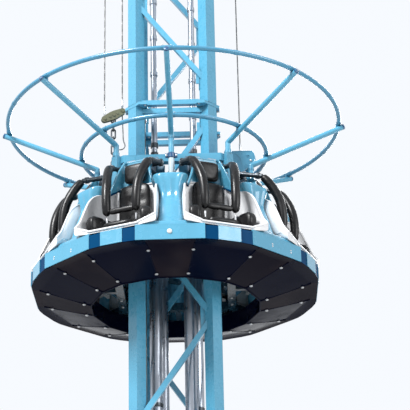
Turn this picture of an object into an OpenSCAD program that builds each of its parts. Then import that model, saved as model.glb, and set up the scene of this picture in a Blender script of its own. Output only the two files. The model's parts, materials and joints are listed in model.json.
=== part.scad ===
// Drop tower ride: a lattice tower with a round gondola of eight seats.
// Origin on the ground at the tower's axis, the front is -Y.

/* [Tower] */
// Height of the gondola's rim above the ground, at rest
gondola_z = 6200; // [5600:50:6300]
// Distance between the centres of neighbouring legs
leg_pitch = 556; // [540:2:560]
// Width of a leg's square tube, which stands edge outwards
leg_w = 90; // [84:1:94]
// Wall of a leg's tube
leg_wall = 5; // [3:0.5:8]
// Width of a lattice bar
bar_w = 40; // [30:1:46]
// Height of one bay of bracing in a full section
bay_h = 800; // [770:5:810]
// Height of one bay of bracing in the top section
top_bay_h = 735; // [700:5:760]
// How far the plates between the bars reach from a leg's centre
gusset_reach = 90; // [80:1:110]
// From a joint between sections to the first node of bracing
end_gap = 140; // [120:5:160]
// The same in the top section
top_gap = 200; // [180:5:220]
// Height of the short foot section
foot_section_h = 460; // [420:10:500]
// Thickness of the pair of plates at a joint between sections
joint_t = 24; // [16:1:30]
// How far a joint plate reaches past the leg's centre
joint_reach = 88; // [76:1:92]

/* [Base] */
// Span of the base beams
base_span = 3000; // [2800:50:3400]
// Height of a base beam
beam_h = 160; // [140:5:180]
// Width of a base beam's flanges
beam_w = 160; // [140:5:170]
// Thickness of a base beam's flanges
flange_t = 12; // [8:1:16]
// Thickness of a base beam's web
web_t = 8; // [6:1:12]
// Gap between the ground and the base beams
ground_gap = 50; // [40:5:80]
// Diameter of a levelling foot's pad
pad_d = 200; // [160:10:240]
// Diameter of a levelling foot's screw
screw_d = 36; // [30:1:40]

/* [Head] */
// Height of the beams that carry the sheaves
head_beam_h = 110; // [90:5:140]
// From the tower's axis to the outer rope on the left
rope_out = 541; // [530:1:550]
// From the tower's axis to the inner rope on the left
rope_in = 403; // [396:1:410]
// From the tower's axis to the pair of ropes on the right
rope_right = 520; // [510:1:530]
// From the tower's axis to the ropes' falls inside the tower
rope_fall = 150; // [140:1:160]
// From the tower's axis to the middle of the two ropes, sideways
rope_y = 65; // [62:1:72]
// Distance between the planes of the two ropes on one side
rope_gap = 34; // [34:1:38]
// Diameter of a hoist rope
rope_d = 10; // [8:0.5:12]
// Diameter of the sleeve pressed on a rope's end
sleeve_d = 16; // [14:1:18]
// Length of that sleeve
sleeve_h = 58; // [50:1:66]
// Height of the yoke's middle above the rim
yoke_z = 1495; // [1485:1:1505]
// Tilt of the yoke
yoke_tilt = 30; // [20:1:34]
// Thickness of a chain link's wire
chain_d = 13; // [11:0.5:14]

/* [Cylinders] */
// Diameter of a pressure barrel
barrel_d = 95; // [85:1:100]
// Diameter of a chrome cylinder tube
tube_d = 48; // [42:1:54]
// Height of the barrels' tops above the gondola's rim
barrel_top = 420; // [300:10:600]

/* [Gondola] */
// Radius of the rim, over its corners
rim_r = 1100; // [1090:2:1120]
// Height of the rim's fascia
fascia_h = 115; // [100:1:130]
// Thickness of the fascia's moulding
fascia_t = 26; // [18:1:30]
// Radius of the opening in the underside
opening_r = 631; // [625:1:640]
// How far the underside dips from the rim to its opening
dish_drop = 105; // [90:1:120]
// Thickness of the underside's panels
dish_t = 8; // [6:0.5:12]
// Inner half width of the chassis frames
chassis_in = 392; // [388:1:400]
// Width of the chassis tubes
chassis_w = 60; // [50:1:64]
// Height of the chassis above the rim
chassis_h = 960; // [940:5:980]
// Diameter of a guide roller
roller_d = 100; // [90:1:104]

/* [Crown] */
// Radius of the outer ring, at its tube's centre
outer_ring_r = 1300; // [1280:5:1320]
// Height of the outer ring above the rim
outer_ring_z = 1400; // [1390:1:1420]
// Radius of the inner ring, at its tube's centre
inner_ring_r = 723; // [710:1:740]
// Height of the inner ring above the rim
inner_ring_z = 1151; // [1145:1:1165]
// Diameter of the rings' tube
ring_d = 34; // [30:1:38]
// Diameter of the crown arms' tube
arm_d = 42; // [38:1:46]
// From the tower's axis to the crown's posts
post_r = 600; // [595:1:606]
// Length of an arm past the outer ring
arm_stub = 42; // [30:1:60]

/* [Seats and cowls] */
// Height of a cowl's top above the rim
cowl_h = 605; // [580:5:625]
// Width of a cowl at its foot
cowl_foot_w = 240; // [220:2:244]
// Width of a cowl at its waist
cowl_waist_w = 176; // [150:2:186]
// Width of a cowl near its top
cowl_top_w = 256; // [230:2:264]
// Height of the seat pan above the rim
pan_z = 150; // [140:1:170]
// Thickness of a seat's shell
shell_t = 12; // [10:0.5:14]
// Height of the seat's wings above the rim
wing_z = 520; // [480:5:525]
// Height of the panel behind the head, above the rim
back_panel_z = 895; // [860:5:905]

/* [Restraints] */
// From the tower's axis to a restraint's hinge shaft
pivot_r = 600; // [596:1:604]
// Height of the hinge shaft above the rim
pivot_z = 812; // [800:1:820]
// Diameter of the hinge shaft
shaft_d = 40; // [34:1:42]
// Diameter of a padded shoulder tube
pad_tube_d = 78; // [70:1:84]
// Distance between the padded tubes at the shoulders
pad_top_gap = 300; // [280:2:310]
// Distance between the padded tubes at the lap
pad_low_gap = 222; // [200:2:240]

/* [Hidden] */
$fn = 48;
// number of seats, one between each two cowls
seats = 8;

// clearances
fit = 0.05;
seat_gap = 0.3;

// colours
sky = "#5fb4d8";
deep = "#1f6fa3";

leg_c = leg_pitch / 2;
beam_top = ground_gap + beam_h;
base_plate_t = 16;
legs_z = beam_top + base_plate_t;
joint_0 = legs_z + foot_section_h;
section_h = 4 * bay_h + 2 * end_gap;
joint_1 = joint_0 + section_h;
joint_2 = joint_1 + section_h;
legs_top = joint_2 + 2 * top_bay_h + 2 * top_gap;
track = leg_c * sqrt(2) + leg_w / 2;
step = 360 / seats;

// a tube or a pillar through closed rings of points
module loft(rings, open_profile = false) {
    n = len(rings[0]);
    m = len(rings);
    // a profile that bends round a hollow is closed by strips across its wall
    strip = [for (i = [0:n / 2 - 2]) [i, i + 1, n - 2 - i, n - 1 - i]];
    sides = [for (k = [0:m - 2], i = [0:n - 1])
        [k * n + i, (k + 1) * n + i, (k + 1) * n + (i + 1) % n, k * n + (i + 1) % n]];
    low = open_profile ? strip : [[for (i = [0:n - 1]) i]];
    high = [for (f = low) [for (i = [len(f) - 1:-1:0]) f[i] + (m - 1) * n]];
    polyhedron(points = [for (r = rings, p = r) p], faces = concat(low, sides, high));
}

function unit(v) = v / norm(v);

// one ring of a tube with its sides, square to the direction d
function tube_ring(p, d, r, n) =
    let (side = unit(cross([0, 1, 0], d)), up = cross(d, side))
    [for (i = [0:n - 1]) p + r * (cos(i * 360 / n) * side + sin(i * 360 / n) * up)];

module tube_along(points, r, n = 10) {
    last = len(points) - 1;
    loft([for (k = [0:last])
        let (d = unit(points[min(k + 1, last)] - points[max(k - 1, 0)]))
        tube_ring(points[k], d, r, n)]);
}

// places children on a ray from the axis, 0 at the front and growing to the right
module on_ray(angle) {
    rotate([0, 0, angle - 90]) children();
}

module gondola() {
    translate([0, 0, gondola_z]) children();
}

module at_legs() {
    for (sx = [-1, 1], sy = [-1, 1]) translate([sx * leg_c, sy * leg_c, 0]) children();
}

// square bar, standing edge outwards
module diamond(w, h) {
    rotate([0, 0, 45]) translate([-w / 2, -w / 2, 0]) cube([w, w, h]);
}

module base_beam(length) {
    rotate([90, 0, 90]) translate([0, 0, -length / 2]) linear_extrude(length) difference() {
        translate([-beam_w / 2, 0]) square([beam_w, beam_h]);
        for (s = [-1, 1]) translate([s * (web_t / 2 + beam_w / 2), beam_h / 2])
            square([beam_w, beam_h - 2 * flange_t], center = true);
    }
}

foot_x = base_span / 2 - 70;

module foot_places() {
    for (s = [-1, 1], t = [-1, 1]) {
        translate([s * foot_x, t * leg_c, 0]) children();
        translate([t * leg_c, s * foot_x, 0]) children();
    }
}

module base_frame() {
    color(deep) difference() {
        union() {
            for (s = [-1, 1]) translate([0, s * leg_c, ground_gap]) base_beam(base_span);
            for (s = [-1, 1]) translate([s * leg_c, 0, ground_gap]) rotate([0, 0, 90]) base_beam(base_span);
            foot_places() translate([0, 0, ground_gap]) cylinder(d = screw_d + 30, h = beam_h);
            at_legs() translate([-110, -110, beam_top]) cube([220, 220, base_plate_t]);
            translate([-leg_c, -leg_c, beam_top]) cube([leg_pitch, leg_pitch, base_plate_t]);
        }
        foot_places() translate([0, 0, -1]) cylinder(d = screw_d + 2 * seat_gap, h = beam_top + 2);
    }
}

module levelling_feet() {
    color("silver") foot_places() {
        cylinder(d = pad_d, h = 12);
        cylinder(d = 70, h = 24);
        cylinder(d = screw_d, h = beam_top + 60);
        translate([0, 0, beam_top + seat_gap]) cylinder(d = 62, h = 20, $fn = 6);
        translate([0, 0, ground_gap - 20 - seat_gap]) cylinder(d = 62, h = 20, $fn = 6);
    }
}

// joint plate, cut off flush with the face that the guide rollers run on
module joint_plate() {
    intersection() {
        translate([-joint_reach, -joint_reach, -joint_t / 2])
            cube([2 * joint_reach, 2 * joint_reach, joint_t]);
        rotate([0, 0, 45]) translate([leg_w / 2 - 4 * joint_reach, -2 * joint_reach, -joint_t])
            cube([4 * joint_reach, 4 * joint_reach, 2 * joint_t]);
    }
}

module leg() {
    difference() {
        union() {
            translate([0, 0, legs_z]) diamond(leg_w, legs_top - legs_z);
            for (z = [joint_0, joint_1, joint_2]) translate([0, 0, z]) joint_plate();
        }
        translate([0, 0, legs_z - 1]) diamond(leg_w - 2 * leg_wall, legs_top - legs_z + 2);
    }
}

module tower_legs() {
    color(sky) for (k = [0:3]) rotate([0, 0, 90 * k]) translate([leg_c, leg_c, 0]) leg();
}

// diagonal bars that climb from side to side, all in one plane
module zigzag(z0, h, bays, first) {
    for (k = [0:bays - 1]) {
        dir = (k % 2 == 0) ? first : -first;
        length = norm([leg_pitch, h]);
        translate([0, 0, z0 + (k + 0.5) * h]) rotate([0, -dir * atan2(h, leg_pitch), 0])
            cube([length, bar_w, bar_w], center = true);
    }
}

// plates between the bars that meet at a leg
module gussets(z0, h, bays, first) {
    rise = gusset_reach * h / leg_pitch;
    for (k = [0:bays]) {
        dir = (k % 2 == 0) ? first : -first;
        low = (k == 0) ? 0 : -rise;
        high = (k == bays) ? 0 : rise;
        translate([-dir * leg_c, 0, z0 + k * h]) rotate([90, 0, 0]) linear_extrude(bar_w / 4, center = true)
            polygon([[0, 0], [dir * gusset_reach, high], [dir * gusset_reach, low]]);
    }
}

module braced(z0, h, bays) {
    zigzag(z0, h, bays, -1);
    gussets(z0, h, bays, -1);
}

module side_bars() {
    braced(joint_0 + end_gap, bay_h, 4);
    braced(joint_1 + end_gap, bay_h, 4);
    braced(joint_2 + top_gap, top_bay_h, 2);
    rail = joint_t / 2 + bar_w / 2 + 4;
    for (z = [joint_0, joint_1, joint_2], s = [-1, 1])
        translate([0, 0, z + s * rail]) cube([leg_pitch, bar_w, bar_w], center = true);
    translate([0, 0, legs_z + 60]) cube([leg_pitch, bar_w, bar_w], center = true);
    translate([0, 0, legs_top - bar_w]) cube([leg_pitch, bar_w, bar_w], center = true);
}

// one side's bracing, mitred to the legs
module tower_side(turn) {
    color(sky) rotate([0, 0, turn]) difference() {
        translate([0, -leg_c, 0]) side_bars();
        for (s = [-1, 1]) translate([s * leg_c, -leg_c, legs_z - 1]) diamond(leg_w, legs_top);
    }
}

outer_r = (rope_out - rope_fall) / 2;
inner_r = (rope_in - rope_fall) / 2;
right_r = (rope_right - rope_fall) / 2;
sheave_w = 22;
beam_t = 12;
beam_y = rope_gap / 2 + sheave_w / 2 + 6 + beam_t / 2;
head_t = 12;
pin_r = 20;
sheave_z = legs_top + head_t + outer_r + 22;

// children placed for the left side, then the same turned half a turn for the right side
module both_sides() {
    for (a = [0, 180]) rotate([0, 0, a]) children();
}

module right_side() {
    rotate([0, 0, 180]) children();
}

// a beam with one upright cheek, which carries the pin of a sheave of radius r
module head_beam(y, r) {
    reach = rope_out + 30;
    x = -rope_fall - r;
    difference() {
        translate([0, y - beam_t / 2, 0]) {
            translate([-reach, 0, legs_top + head_t]) cube([reach + leg_c + 60, beam_t, head_beam_h]);
            translate([x - 55, 0, legs_top + head_t]) cube([110, beam_t, sheave_z - legs_top - head_t]);
            translate([x, beam_t, sheave_z]) rotate([90, 0, 0]) cylinder(r = 55, h = beam_t);
        }
        translate([x, y, sheave_z]) rotate([90, 0, 0]) cylinder(r = pin_r + fit, h = beam_t + 2, center = true);
    }
}

module head_frame() {
    color(sky) {
        translate([-leg_c - 80, -leg_c - 80, legs_top]) difference() {
            cube([leg_pitch + 160, leg_pitch + 160, head_t]);
            translate([150, 150, -1]) cube([leg_pitch - 140, leg_pitch - 140, head_t + 2]);
        }
        head_beam(-rope_y - beam_y, outer_r);
        head_beam(-rope_y + beam_y, inner_r);
        right_side() for (s = [-1, 1]) head_beam(-rope_y + s * beam_y, right_r);
    }
}

// grooved wheel that runs in the plane of the rope at y
module sheave(r, y) {
    half = sheave_w / 2;
    groove = r - rope_d / 2 - seat_gap;
    hub = 45;
    translate([-rope_fall - r, y, sheave_z]) rotate([90, 0, 0]) rotate_extrude($fn = 96) polygon([
        [pin_r + fit, -half], [hub, -half], [hub, -5], [r - 14, -5], [r - 8, -half], [r + 8, -half],
        [groove, -3], [groove, 3],
        [r + 8, half], [r - 8, half], [r - 14, 5], [hub, 5], [hub, half], [pin_r + fit, half]
    ]);
}

// a pin along y between two ends, with a collar outside each of them
module sheave_pin(r, from, to) {
    translate([-rope_fall - r, 0, sheave_z]) rotate([-90, 0, 0]) {
        translate([0, 0, from - 8]) cylinder(r = pin_r, h = to - from + 16);
        translate([0, 0, from - 8]) cylinder(r = pin_r + 8, h = 8);
        translate([0, 0, to]) cylinder(r = pin_r + 8, h = 8);
    }
}

// the two left sheaves overlap, so each has a short pin from its own beam
module head_sheaves() {
    beam_out = beam_y + beam_t / 2 + seat_gap;
    hub_in = rope_gap / 2 - sheave_w / 2 - seat_gap;
    color("#33424d") {
        sheave(outer_r, -rope_y - rope_gap / 2);
        sheave(inner_r, -rope_y + rope_gap / 2);
        right_side() for (s = [-1, 1]) sheave(right_r, -rope_y + s * rope_gap / 2);
    }
    color("silver") {
        sheave_pin(outer_r, -rope_y - beam_out, -rope_y - hub_in);
        sheave_pin(inner_r, -rope_y + hub_in, -rope_y + beam_out);
        right_side() sheave_pin(right_r, -rope_y - beam_out, -rope_y + beam_out);
    }
}

// the rope over one sheave, from its outer side to its fall inside the tower
module rope_over(r, y) {
    translate([-rope_fall - r, y, sheave_z]) {
        rotate([90, 0, 0]) rotate_extrude(angle = 180, $fn = 96) translate([r, 0]) circle(d = rope_d, $fn = 24);
        translate([r, 0, gland_z - sheave_z + seat_gap]) cylinder(d = rope_d, h = sheave_z - gland_z - seat_gap);
    }
}

gland_z = legs_top - 140;

module head_ropes() {
    color("dimgray") {
        rope_over(outer_r, -rope_y - rope_gap / 2);
        rope_over(inner_r, -rope_y + rope_gap / 2);
        right_side() for (s = [-1, 1]) rope_over(right_r, -rope_y + s * rope_gap / 2);
    }
}

module lift_cylinders() {
    color("silver") both_sides() {
        translate([-rope_fall, -rope_y, 0]) {
            translate([0, 0, legs_z]) cylinder(d = barrel_d, h = gondola_z + barrel_top - legs_z);
            cylinder_tube();
        }
        translate([110, -125, legs_z]) cylinder(d = barrel_d, h = gondola_z + barrel_top - 200 - legs_z);
    }
}

module cylinder_tube() {
    translate([0, 0, legs_z]) cylinder(d = tube_d, h = gland_z - 30 - legs_z);
    translate([0, 0, gondola_z + barrel_top]) cylinder(d1 = barrel_d, d2 = tube_d + 16, h = 30);
    translate([0, 0, gland_z - 30]) cube([60, 84, 60], center = true);
    for (z = [joint_2 + 60 : 330 : gland_z - 200]) translate([0, 0, z]) cylinder(d = tube_d + 12, h = 34);
}

// the left ropes end at the yoke, which stands askew because their sheaves run side by side
yoke_x = (rope_out + rope_in) / 2;
yoke_turn = atan2(rope_gap, rope_out - rope_in);
yoke_arm = norm([rope_out - rope_in, rope_gap]) / 2 / cos(yoke_tilt);
yoke_rise = yoke_arm * sin(yoke_tilt);
eye_h = 54;
anchor_z = chassis_h + 240;
anchor_nut = 12;

// a hoist rope from its lower end up to the sheave
module rope(x, y, low) {
    color("dimgray") translate([x, y, gondola_z + low]) cylinder(d = rope_d, h = sheave_z - gondola_z - low);
}

module outer_rope() {
    rope(-rope_out, -rope_y - rope_gap / 2, yoke_z - yoke_rise + eye_h + sleeve_h + seat_gap);
}

module inner_rope() {
    rope(-rope_in, -rope_y + rope_gap / 2, yoke_z + yoke_rise + eye_h + sleeve_h + seat_gap);
}

module right_ropes() {
    for (s = [-1, 1]) rope(rope_right, rope_y + s * rope_gap / 2, anchor_z + anchor_nut + 2 + sleeve_h + seat_gap);
}

module chassis_ring(z) {
    out = chassis_in + chassis_w;
    translate([0, 0, z]) intersection() {
        difference() {
            translate([-out, -out, 0]) cube([2 * out, 2 * out, chassis_w]);
            translate([-chassis_in, -chassis_in, -1]) cube([2 * chassis_in, 2 * chassis_in, chassis_w + 2]);
        }
        diamond(2 * corner_in, chassis_w);
    }
}

corner_in = track + roller_d + 42;
back_ring_u = 530;
back_ring_levels = [300, 640];

module chassis() {
    color(sky) gondola() {
        chassis_ring(20);
        chassis_ring(chassis_h - chassis_w);
        for (z = back_ring_levels) translate([0, 0, z]) back_ring();
        for (k = [0:3]) rotate([0, 0, 45 + 90 * k]) {
            translate([corner_in - 20, -chassis_w / 2, 20]) cube([chassis_w, chassis_w, chassis_h - 20]);
            for (z = roller_levels) translate([corner_in, 0, z]) roller_cheeks();
        }
    }
}

// eight-sided ring behind the seats
module back_ring() {
    corner = back_ring_u / cos(step / 2);
    linear_extrude(40) difference() {
        circle(r = corner, $fn = seats);
        circle(r = corner - 32, $fn = seats);
    }
}

roller_levels = [160, 800];
roller_in = track + roller_d / 2 + 0.5;

module roller_cheeks() {
    for (s = [-1, 1]) difference() {
        translate([roller_in - corner_in - 30, s * 35 - 5, -45]) cube([corner_in - roller_in + 55, 10, 90]);
        translate([roller_in - corner_in, 0, 0]) rotate([90, 0, 0]) cylinder(r = 10 + fit, h = 120, center = true);
    }
}

module guide_rollers() {
    color("#2b2f33") gondola() for (k = [0:3], z = roller_levels)
        rotate([0, 0, 45 + 90 * k]) translate([roller_in, 0, z]) rotate([90, 0, 0]) {
            cylinder(d = roller_d, h = 56, center = true);
            cylinder(r = 10, h = 96, center = true);
        }
}

function fascia_outline(r) =
    [for (k = [0:seats - 1], a = [-13, 13, 18, 27]) [r * cos(k * step + a), r * sin(k * step + a)]];

module fascia_ring(height) {
    linear_extrude(height) difference() {
        polygon(fascia_outline(rim_r));
        polygon(fascia_outline(rim_r - fascia_t));
    }
}

// a wedge from the axis, between two angles
module wedge(from, to, height) {
    r = 1.3 * rim_r;
    linear_extrude(height) polygon([[0, 0], [r * cos(from), r * sin(from)], [r * cos(to), r * sin(to)]]);
}

module fascia_panels() {
    color(sky) gondola() for (k = [0:seats - 1]) {
        on_ray(k * step) intersection() {
            fascia_ring(fascia_h);
            wedge(-13 + strip_seam, 13 - strip_seam, fascia_h);
        }
        on_ray((k + 0.5) * step) intersection() {
            rotate([0, 0, step / 2]) fascia_ring(fascia_h - 10);
            wedge(-4.5 + strip_seam, 4.5 - strip_seam, fascia_h);
        }
    }
}

strip_seam = 0.02;

module fascia_strips() {
    color(deep) gondola() for (k = [0:seats - 1], s = [-1, 1])
        on_ray(k * step + s * 15.5) intersection() {
            rotate([0, 0, -s * 15.5]) difference() {
                linear_extrude(fascia_h - 12) polygon(fascia_outline(rim_r - 6));
                translate([0, 0, -1]) linear_extrude(fascia_h) polygon(fascia_outline(rim_r - fascia_t));
            }
            wedge(-2.5 + strip_seam, 2.5 - strip_seam, fascia_h);
        }
}

module underside() {
    in_r = (rim_r - fascia_t) * cos(13) - 12;
    color("#14161f") gondola() for (k = [0:seats - 1]) on_ray(k * step - step / 2 + 0.03)
        intersection() {
            rotate_extrude(angle = step - 0.06, $fn = 96) polygon([
                [opening_r, -dish_drop - 8], [opening_r + dish_t, -dish_drop - 8],
                [opening_r + dish_t, -dish_drop], [in_r, -6], [rim_r, -6], [rim_r, -seat_gap], [in_r, -seat_gap],
                [in_r - 4, dish_t - 6], [opening_r + dish_t, -dish_drop + dish_t],
                [opening_r + dish_t, -dish_drop + 30], [opening_r, -dish_drop + 30]
            ]);
            rotate([0, 0, step / 2 - 0.03]) translate([0, 0, -200]) linear_extrude(400) polygon(fascia_outline(rim_r - 2));
        }
}

spoke_z = 20;
spoke_top = 70;
chord_places = [740, 940];

// welded frame under the seats: spokes, chords between them and risers to the seat pans
module seat_frame() {
    end = (rim_r - fascia_t) * cos(13) - seat_gap;
    color(sky) gondola() for (k = [0:seats - 1]) {
        on_ray(k * step) {
            start = (k % 2 == 0) ? chassis_in + chassis_w : corner_in - 20 + chassis_w;
            translate([start, -20, spoke_z]) cube([end - start, 40, spoke_top - spoke_z]);
        }
        on_ray((k + 0.5) * step) for (u = chord_places) {
            half = u * tan(step / 2);
            translate([u - 20, -half, spoke_z + 10]) cube([40, 2 * half, spoke_top - spoke_z - 10]);
            for (s = [-1, 1]) translate([u - 20, s * 120 - 20, spoke_top - 1])
                cube([40, 40, pan_z - shell_t - seat_gap - spoke_top + 1]);
        }
    }
}

function cowl_ring(z, front, back, w, n = 20) =
    [for (i = [0:n - 1])
        let (a = i * 360 / n, mid = (front + back) / 2, c = cos(a), s = sin(a))
        [mid + (front - back) / 2 * sign(c) * pow(abs(c), 0.8), w / 2 * sign(s) * pow(abs(s), 0.55), z]];

module cowl() {
    rise = cowl_h - fascia_h;
    back = 860;
    loft([
        cowl_ring(spoke_top + seat_gap, 1036, back, cowl_foot_w),
        cowl_ring(fascia_h, 1036, back, cowl_foot_w),
        cowl_ring(fascia_h + rise * 0.05, 1020, back - 5, cowl_foot_w * 0.93),
        cowl_ring(fascia_h + rise * 0.2, 976, back - 17, (cowl_foot_w + 2 * cowl_waist_w) / 3),
        cowl_ring(fascia_h + rise * 0.42, 940, back - 30, cowl_waist_w * 1.04),
        cowl_ring(fascia_h + rise * 0.64, 900, back - 45, cowl_waist_w),
        cowl_ring(fascia_h + rise * 0.79, 905, back - 60, (cowl_waist_w * 2 + cowl_top_w) / 3),
        cowl_ring(fascia_h + rise * 0.91, 912, back - 80, cowl_top_w * 0.96),
        cowl_ring(fascia_h + rise * 0.97, 906, back - 88, cowl_top_w),
        cowl_ring(cowl_h, 880, back - 70, cowl_top_w * 0.86)
    ]);
}

module cowls() {
    color(sky) gondola() for (k = [0:seats - 1]) on_ray(k * step) cowl();
}

// half width of the bucket at the distance u from the axis
function bucket_w(u) = min(
    (u * sin(step / 2) - cowl_waist_w / 2 - 26) / cos(step / 2),
    sqrt(pow(rim_r - 12, 2) - u * u));

// section of the bucket: wings, floor and rounded corners between them
function bucket_ring(u, floor_z, top_z) =
    let (w = bucket_w(u), t = shell_t, c = min(60, (top_z - floor_z) * 0.45))
    [
        [u, -w, top_z], [u, -w, floor_z - t + c], [u, -w + c * 0.3, floor_z - t + c * 0.3], [u, -w + c, floor_z - t],
        [u, w - c, floor_z - t], [u, w - c * 0.3, floor_z - t + c * 0.3], [u, w, floor_z - t + c], [u, w, top_z],
        [u, w - t, top_z], [u, w - t, floor_z + c], [u, w - t - c * 0.3, floor_z + c * 0.3], [u, w - t - c, floor_z],
        [u, -w + t + c, floor_z], [u, -w + t + c * 0.3, floor_z + c * 0.3], [u, -w + t, floor_z + c], [u, -w + t, top_z]
    ];

module bucket() {
    loft([
        bucket_ring(668, pan_z, wing_z), bucket_ring(760, pan_z, wing_z - 5), bucket_ring(850, pan_z + 4, wing_z - 25),
        bucket_ring(915, pan_z + 8, wing_z - 75), bucket_ring(960, pan_z + 12, wing_z - 165),
        bucket_ring(1000, pan_z + 12, wing_z - 265), bucket_ring(1040, pan_z, pan_z + 50),
        bucket_ring(1066, pan_z - 18, pan_z)
    ], open_profile = true);
    w = bucket_w(680);
    translate([668, 0, 0]) rotate([0, -90, 0]) linear_extrude(shell_t * 1.6)
        polygon([[pan_z - shell_t, -w], [wing_z - 60, -w], [wing_z + 10, -w + 60], [wing_z + 10, w - 60],
            [wing_z - 60, w], [pan_z - shell_t, w]]);
}

module seat(i) {
    color("white") gondola() on_ray((i - 0.5) * step) bucket();
}

panel_u = back_ring_u + seat_gap;
panel_t = 14;

module back_panels() {
    low = 90;
    color(sky) gondola() for (k = [0:seats - 1]) on_ray((k + 0.5) * step)
        translate([panel_u, 0, 0]) rotate([0, 90, 0]) linear_extrude(panel_t)
            polygon([[-low, -150], [-pivot_z, -165], [-back_panel_z, -110],
                [-back_panel_z, 110], [-pivot_z, 165], [-low, 150]]);
}

module restraint_bearings() {
    color("gray") gondola() for (k = [0:seats - 1]) on_ray((k + 0.5) * step) for (s = [-1, 1])
        difference() {
            translate([panel_u + panel_t + seat_gap, s * 65 - 32, pivot_z - 45])
                cube([pivot_r - panel_u - panel_t + 34, 64, 90]);
            translate([pivot_r, 0, pivot_z]) rotate([90, 0, 0]) cylinder(d = shaft_d + 2 * fit, h = 400, center = true);
        }
}

module restraint(i) {
    top = pad_top_gap / 2;
    low = pad_low_gap / 2;
    color("#17181a") gondola() on_ray((i - 0.5) * step) {
        translate([pivot_r, 0, pivot_z]) rotate([90, 0, 0]) cylinder(d = shaft_d, h = pad_top_gap + 30, center = true);
        for (s = [-1, 1]) {
            tube_along([
                [pivot_r + 4, s * top, pivot_z], [pivot_r + 80, s * top, pivot_z + 14], [pivot_r + 150, s * top, pivot_z - 10],
                [pivot_r + 215, s * (top - 6), pivot_z - 75], [pivot_r + 272, s * (top - 16), pivot_z - 170],
                [pivot_r + 305, s * (top - 26), pivot_z - 290], [pivot_r + 300, s * (low + 3), pivot_z - 400],
                [pivot_r + 284, s * low, pivot_z - 480]
            ], pad_tube_d / 2);
        }
        translate([pivot_r + 284, 0, pivot_z - 470]) cube([44, pad_low_gap - 30, 50], center = true);
    }
}

arm_slope = (outer_ring_z - inner_ring_z) / (outer_ring_r - inner_ring_r);
arm_angle = atan(arm_slope);
arm_below = (arm_d / 2 + ring_d / 2 + seat_gap) / cos(arm_angle);
function arm_z(r) = inner_ring_z - arm_below + (r - inner_ring_r) * arm_slope;

module crown_arm(foot_z, collar_z) {
    bend_z = arm_z(post_r);
    length = (outer_ring_r + arm_stub - post_r) / cos(arm_angle);
    translate([post_r, 0, foot_z]) cylinder(d = arm_d, h = bend_z - foot_z);
    translate([post_r, 0, bend_z]) sphere(d = arm_d);
    translate([post_r, 0, bend_z]) rotate([0, 90 - arm_angle, 0]) cylinder(d = arm_d, h = length);
    translate([post_r, 0, collar_z]) cylinder(d = arm_d + 10, h = 30);
}

module crown_arms() {
    color(sky) gondola() for (k = [0:seats - 1]) on_ray(k * step) {
        if (k % 2 == 0) crown_arm(spoke_top, 860);
        else crown_arm(chassis_h, chassis_h);
    }
}

module ring(r, z) {
    translate([0, 0, z]) rotate_extrude($fn = 96) translate([r, 0]) circle(d = ring_d, $fn = 24);
}

module crown_rings() {
    color(sky) gondola() {
        ring(outer_ring_r, outer_ring_z);
        ring(inner_ring_r, inner_ring_z);
    }
}

lug_t = 8;
lug_in = 12;
lug_z = chassis_h + 75;
chain_pin_r = 8;
shackle_r = chain_d / 2 + chain_pin_r + seat_gap;

// side plate of the right bracket, with a pocket pressed into its outer face
module bracket_plate(s) {
    h = anchor_z - chassis_h;
    translate([0, rope_y + s * 38, chassis_h]) rotate([90, 0, 0]) difference() {
        linear_extrude(lug_t, center = true) {
            polygon([[chassis_in, 0], [chassis_in + chassis_w, 0], [540, 60], [628, 140], [628, h - 40], [588, h], [chassis_in, h]]);
            translate([588, h - 40]) circle(r = 40);
        }
        translate([578, h - 50, 0]) cylinder(r = 12, h = lug_t + 2, center = true);
        translate([0, 0, -s * lug_t / 2]) linear_extrude(lug_t / 2, center = true)
            polygon([[412, 20], [458, 20], [535, 76], [532, 120], [520, 168], [500, 200], [475, 218], [412, 218]]);
    }
}

// top plate that the right ropes' studs pass through
module anchor_plate() {
    translate([chassis_in, rope_y - 42, anchor_z - 10]) difference() {
        cube([rope_right - chassis_in + 40, 84, 10]);
        for (s = [-1, 1]) translate([rope_right - chassis_in, 42 + s * rope_gap / 2, -1]) cylinder(d = sleeve_d - 2 + 2 * fit, h = 12);
    }
}

// pair of lugs on the chassis that hold the chain's lower end
module chain_lug(s) {
    beam_x = yoke_x - chassis_in - chassis_w;
    translate([-yoke_x, -rope_y + s * (lug_in + lug_t / 2), 0]) rotate([90, 0, 0]) difference() {
        linear_extrude(lug_t, center = true) {
            polygon([[beam_x, chassis_h - 50], [beam_x, chassis_h], [24, lug_z], [-24, lug_z], [-24, chassis_h]]);
            translate([0, lug_z]) circle(r = 24);
            translate([0, chassis_h]) square([60, lug_z - chassis_h - 20]);
        }
        translate([0, lug_z, 0]) cylinder(r = chain_pin_r + fit, h = lug_t + 2, center = true);
    }
}

module rope_brackets() {
    color(sky) gondola() {
        for (s = [-1, 1]) bracket_plate(s);
        anchor_plate();
        for (s = [-1, 1]) chain_lug(s);
    }
}

// pin along y with a head at each end, its faces at half from the middle
module headed_pin(r, half) {
    rotate([90, 0, 0]) {
        cylinder(r = r, h = 2 * half + 8, center = true);
        for (s = [-1, 1]) translate([0, 0, s * (half + seat_gap + 3)]) cylinder(r = r + 4, h = 6, center = true, $fn = 6);
    }
}

// sleeve with an eye under it, the eye's bore at the origin
module rope_eye() {
    translate([0, 0, eye_h]) cylinder(d = sleeve_d, h = sleeve_h);
    rotate([90, 0, 0]) difference() {
        linear_extrude(10, center = true) {
            circle(r = 17);
            translate([-8, 0]) square([16, eye_h]);
        }
        cylinder(r = chain_pin_r + fit, h = 12, center = true);
    }
}

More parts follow.
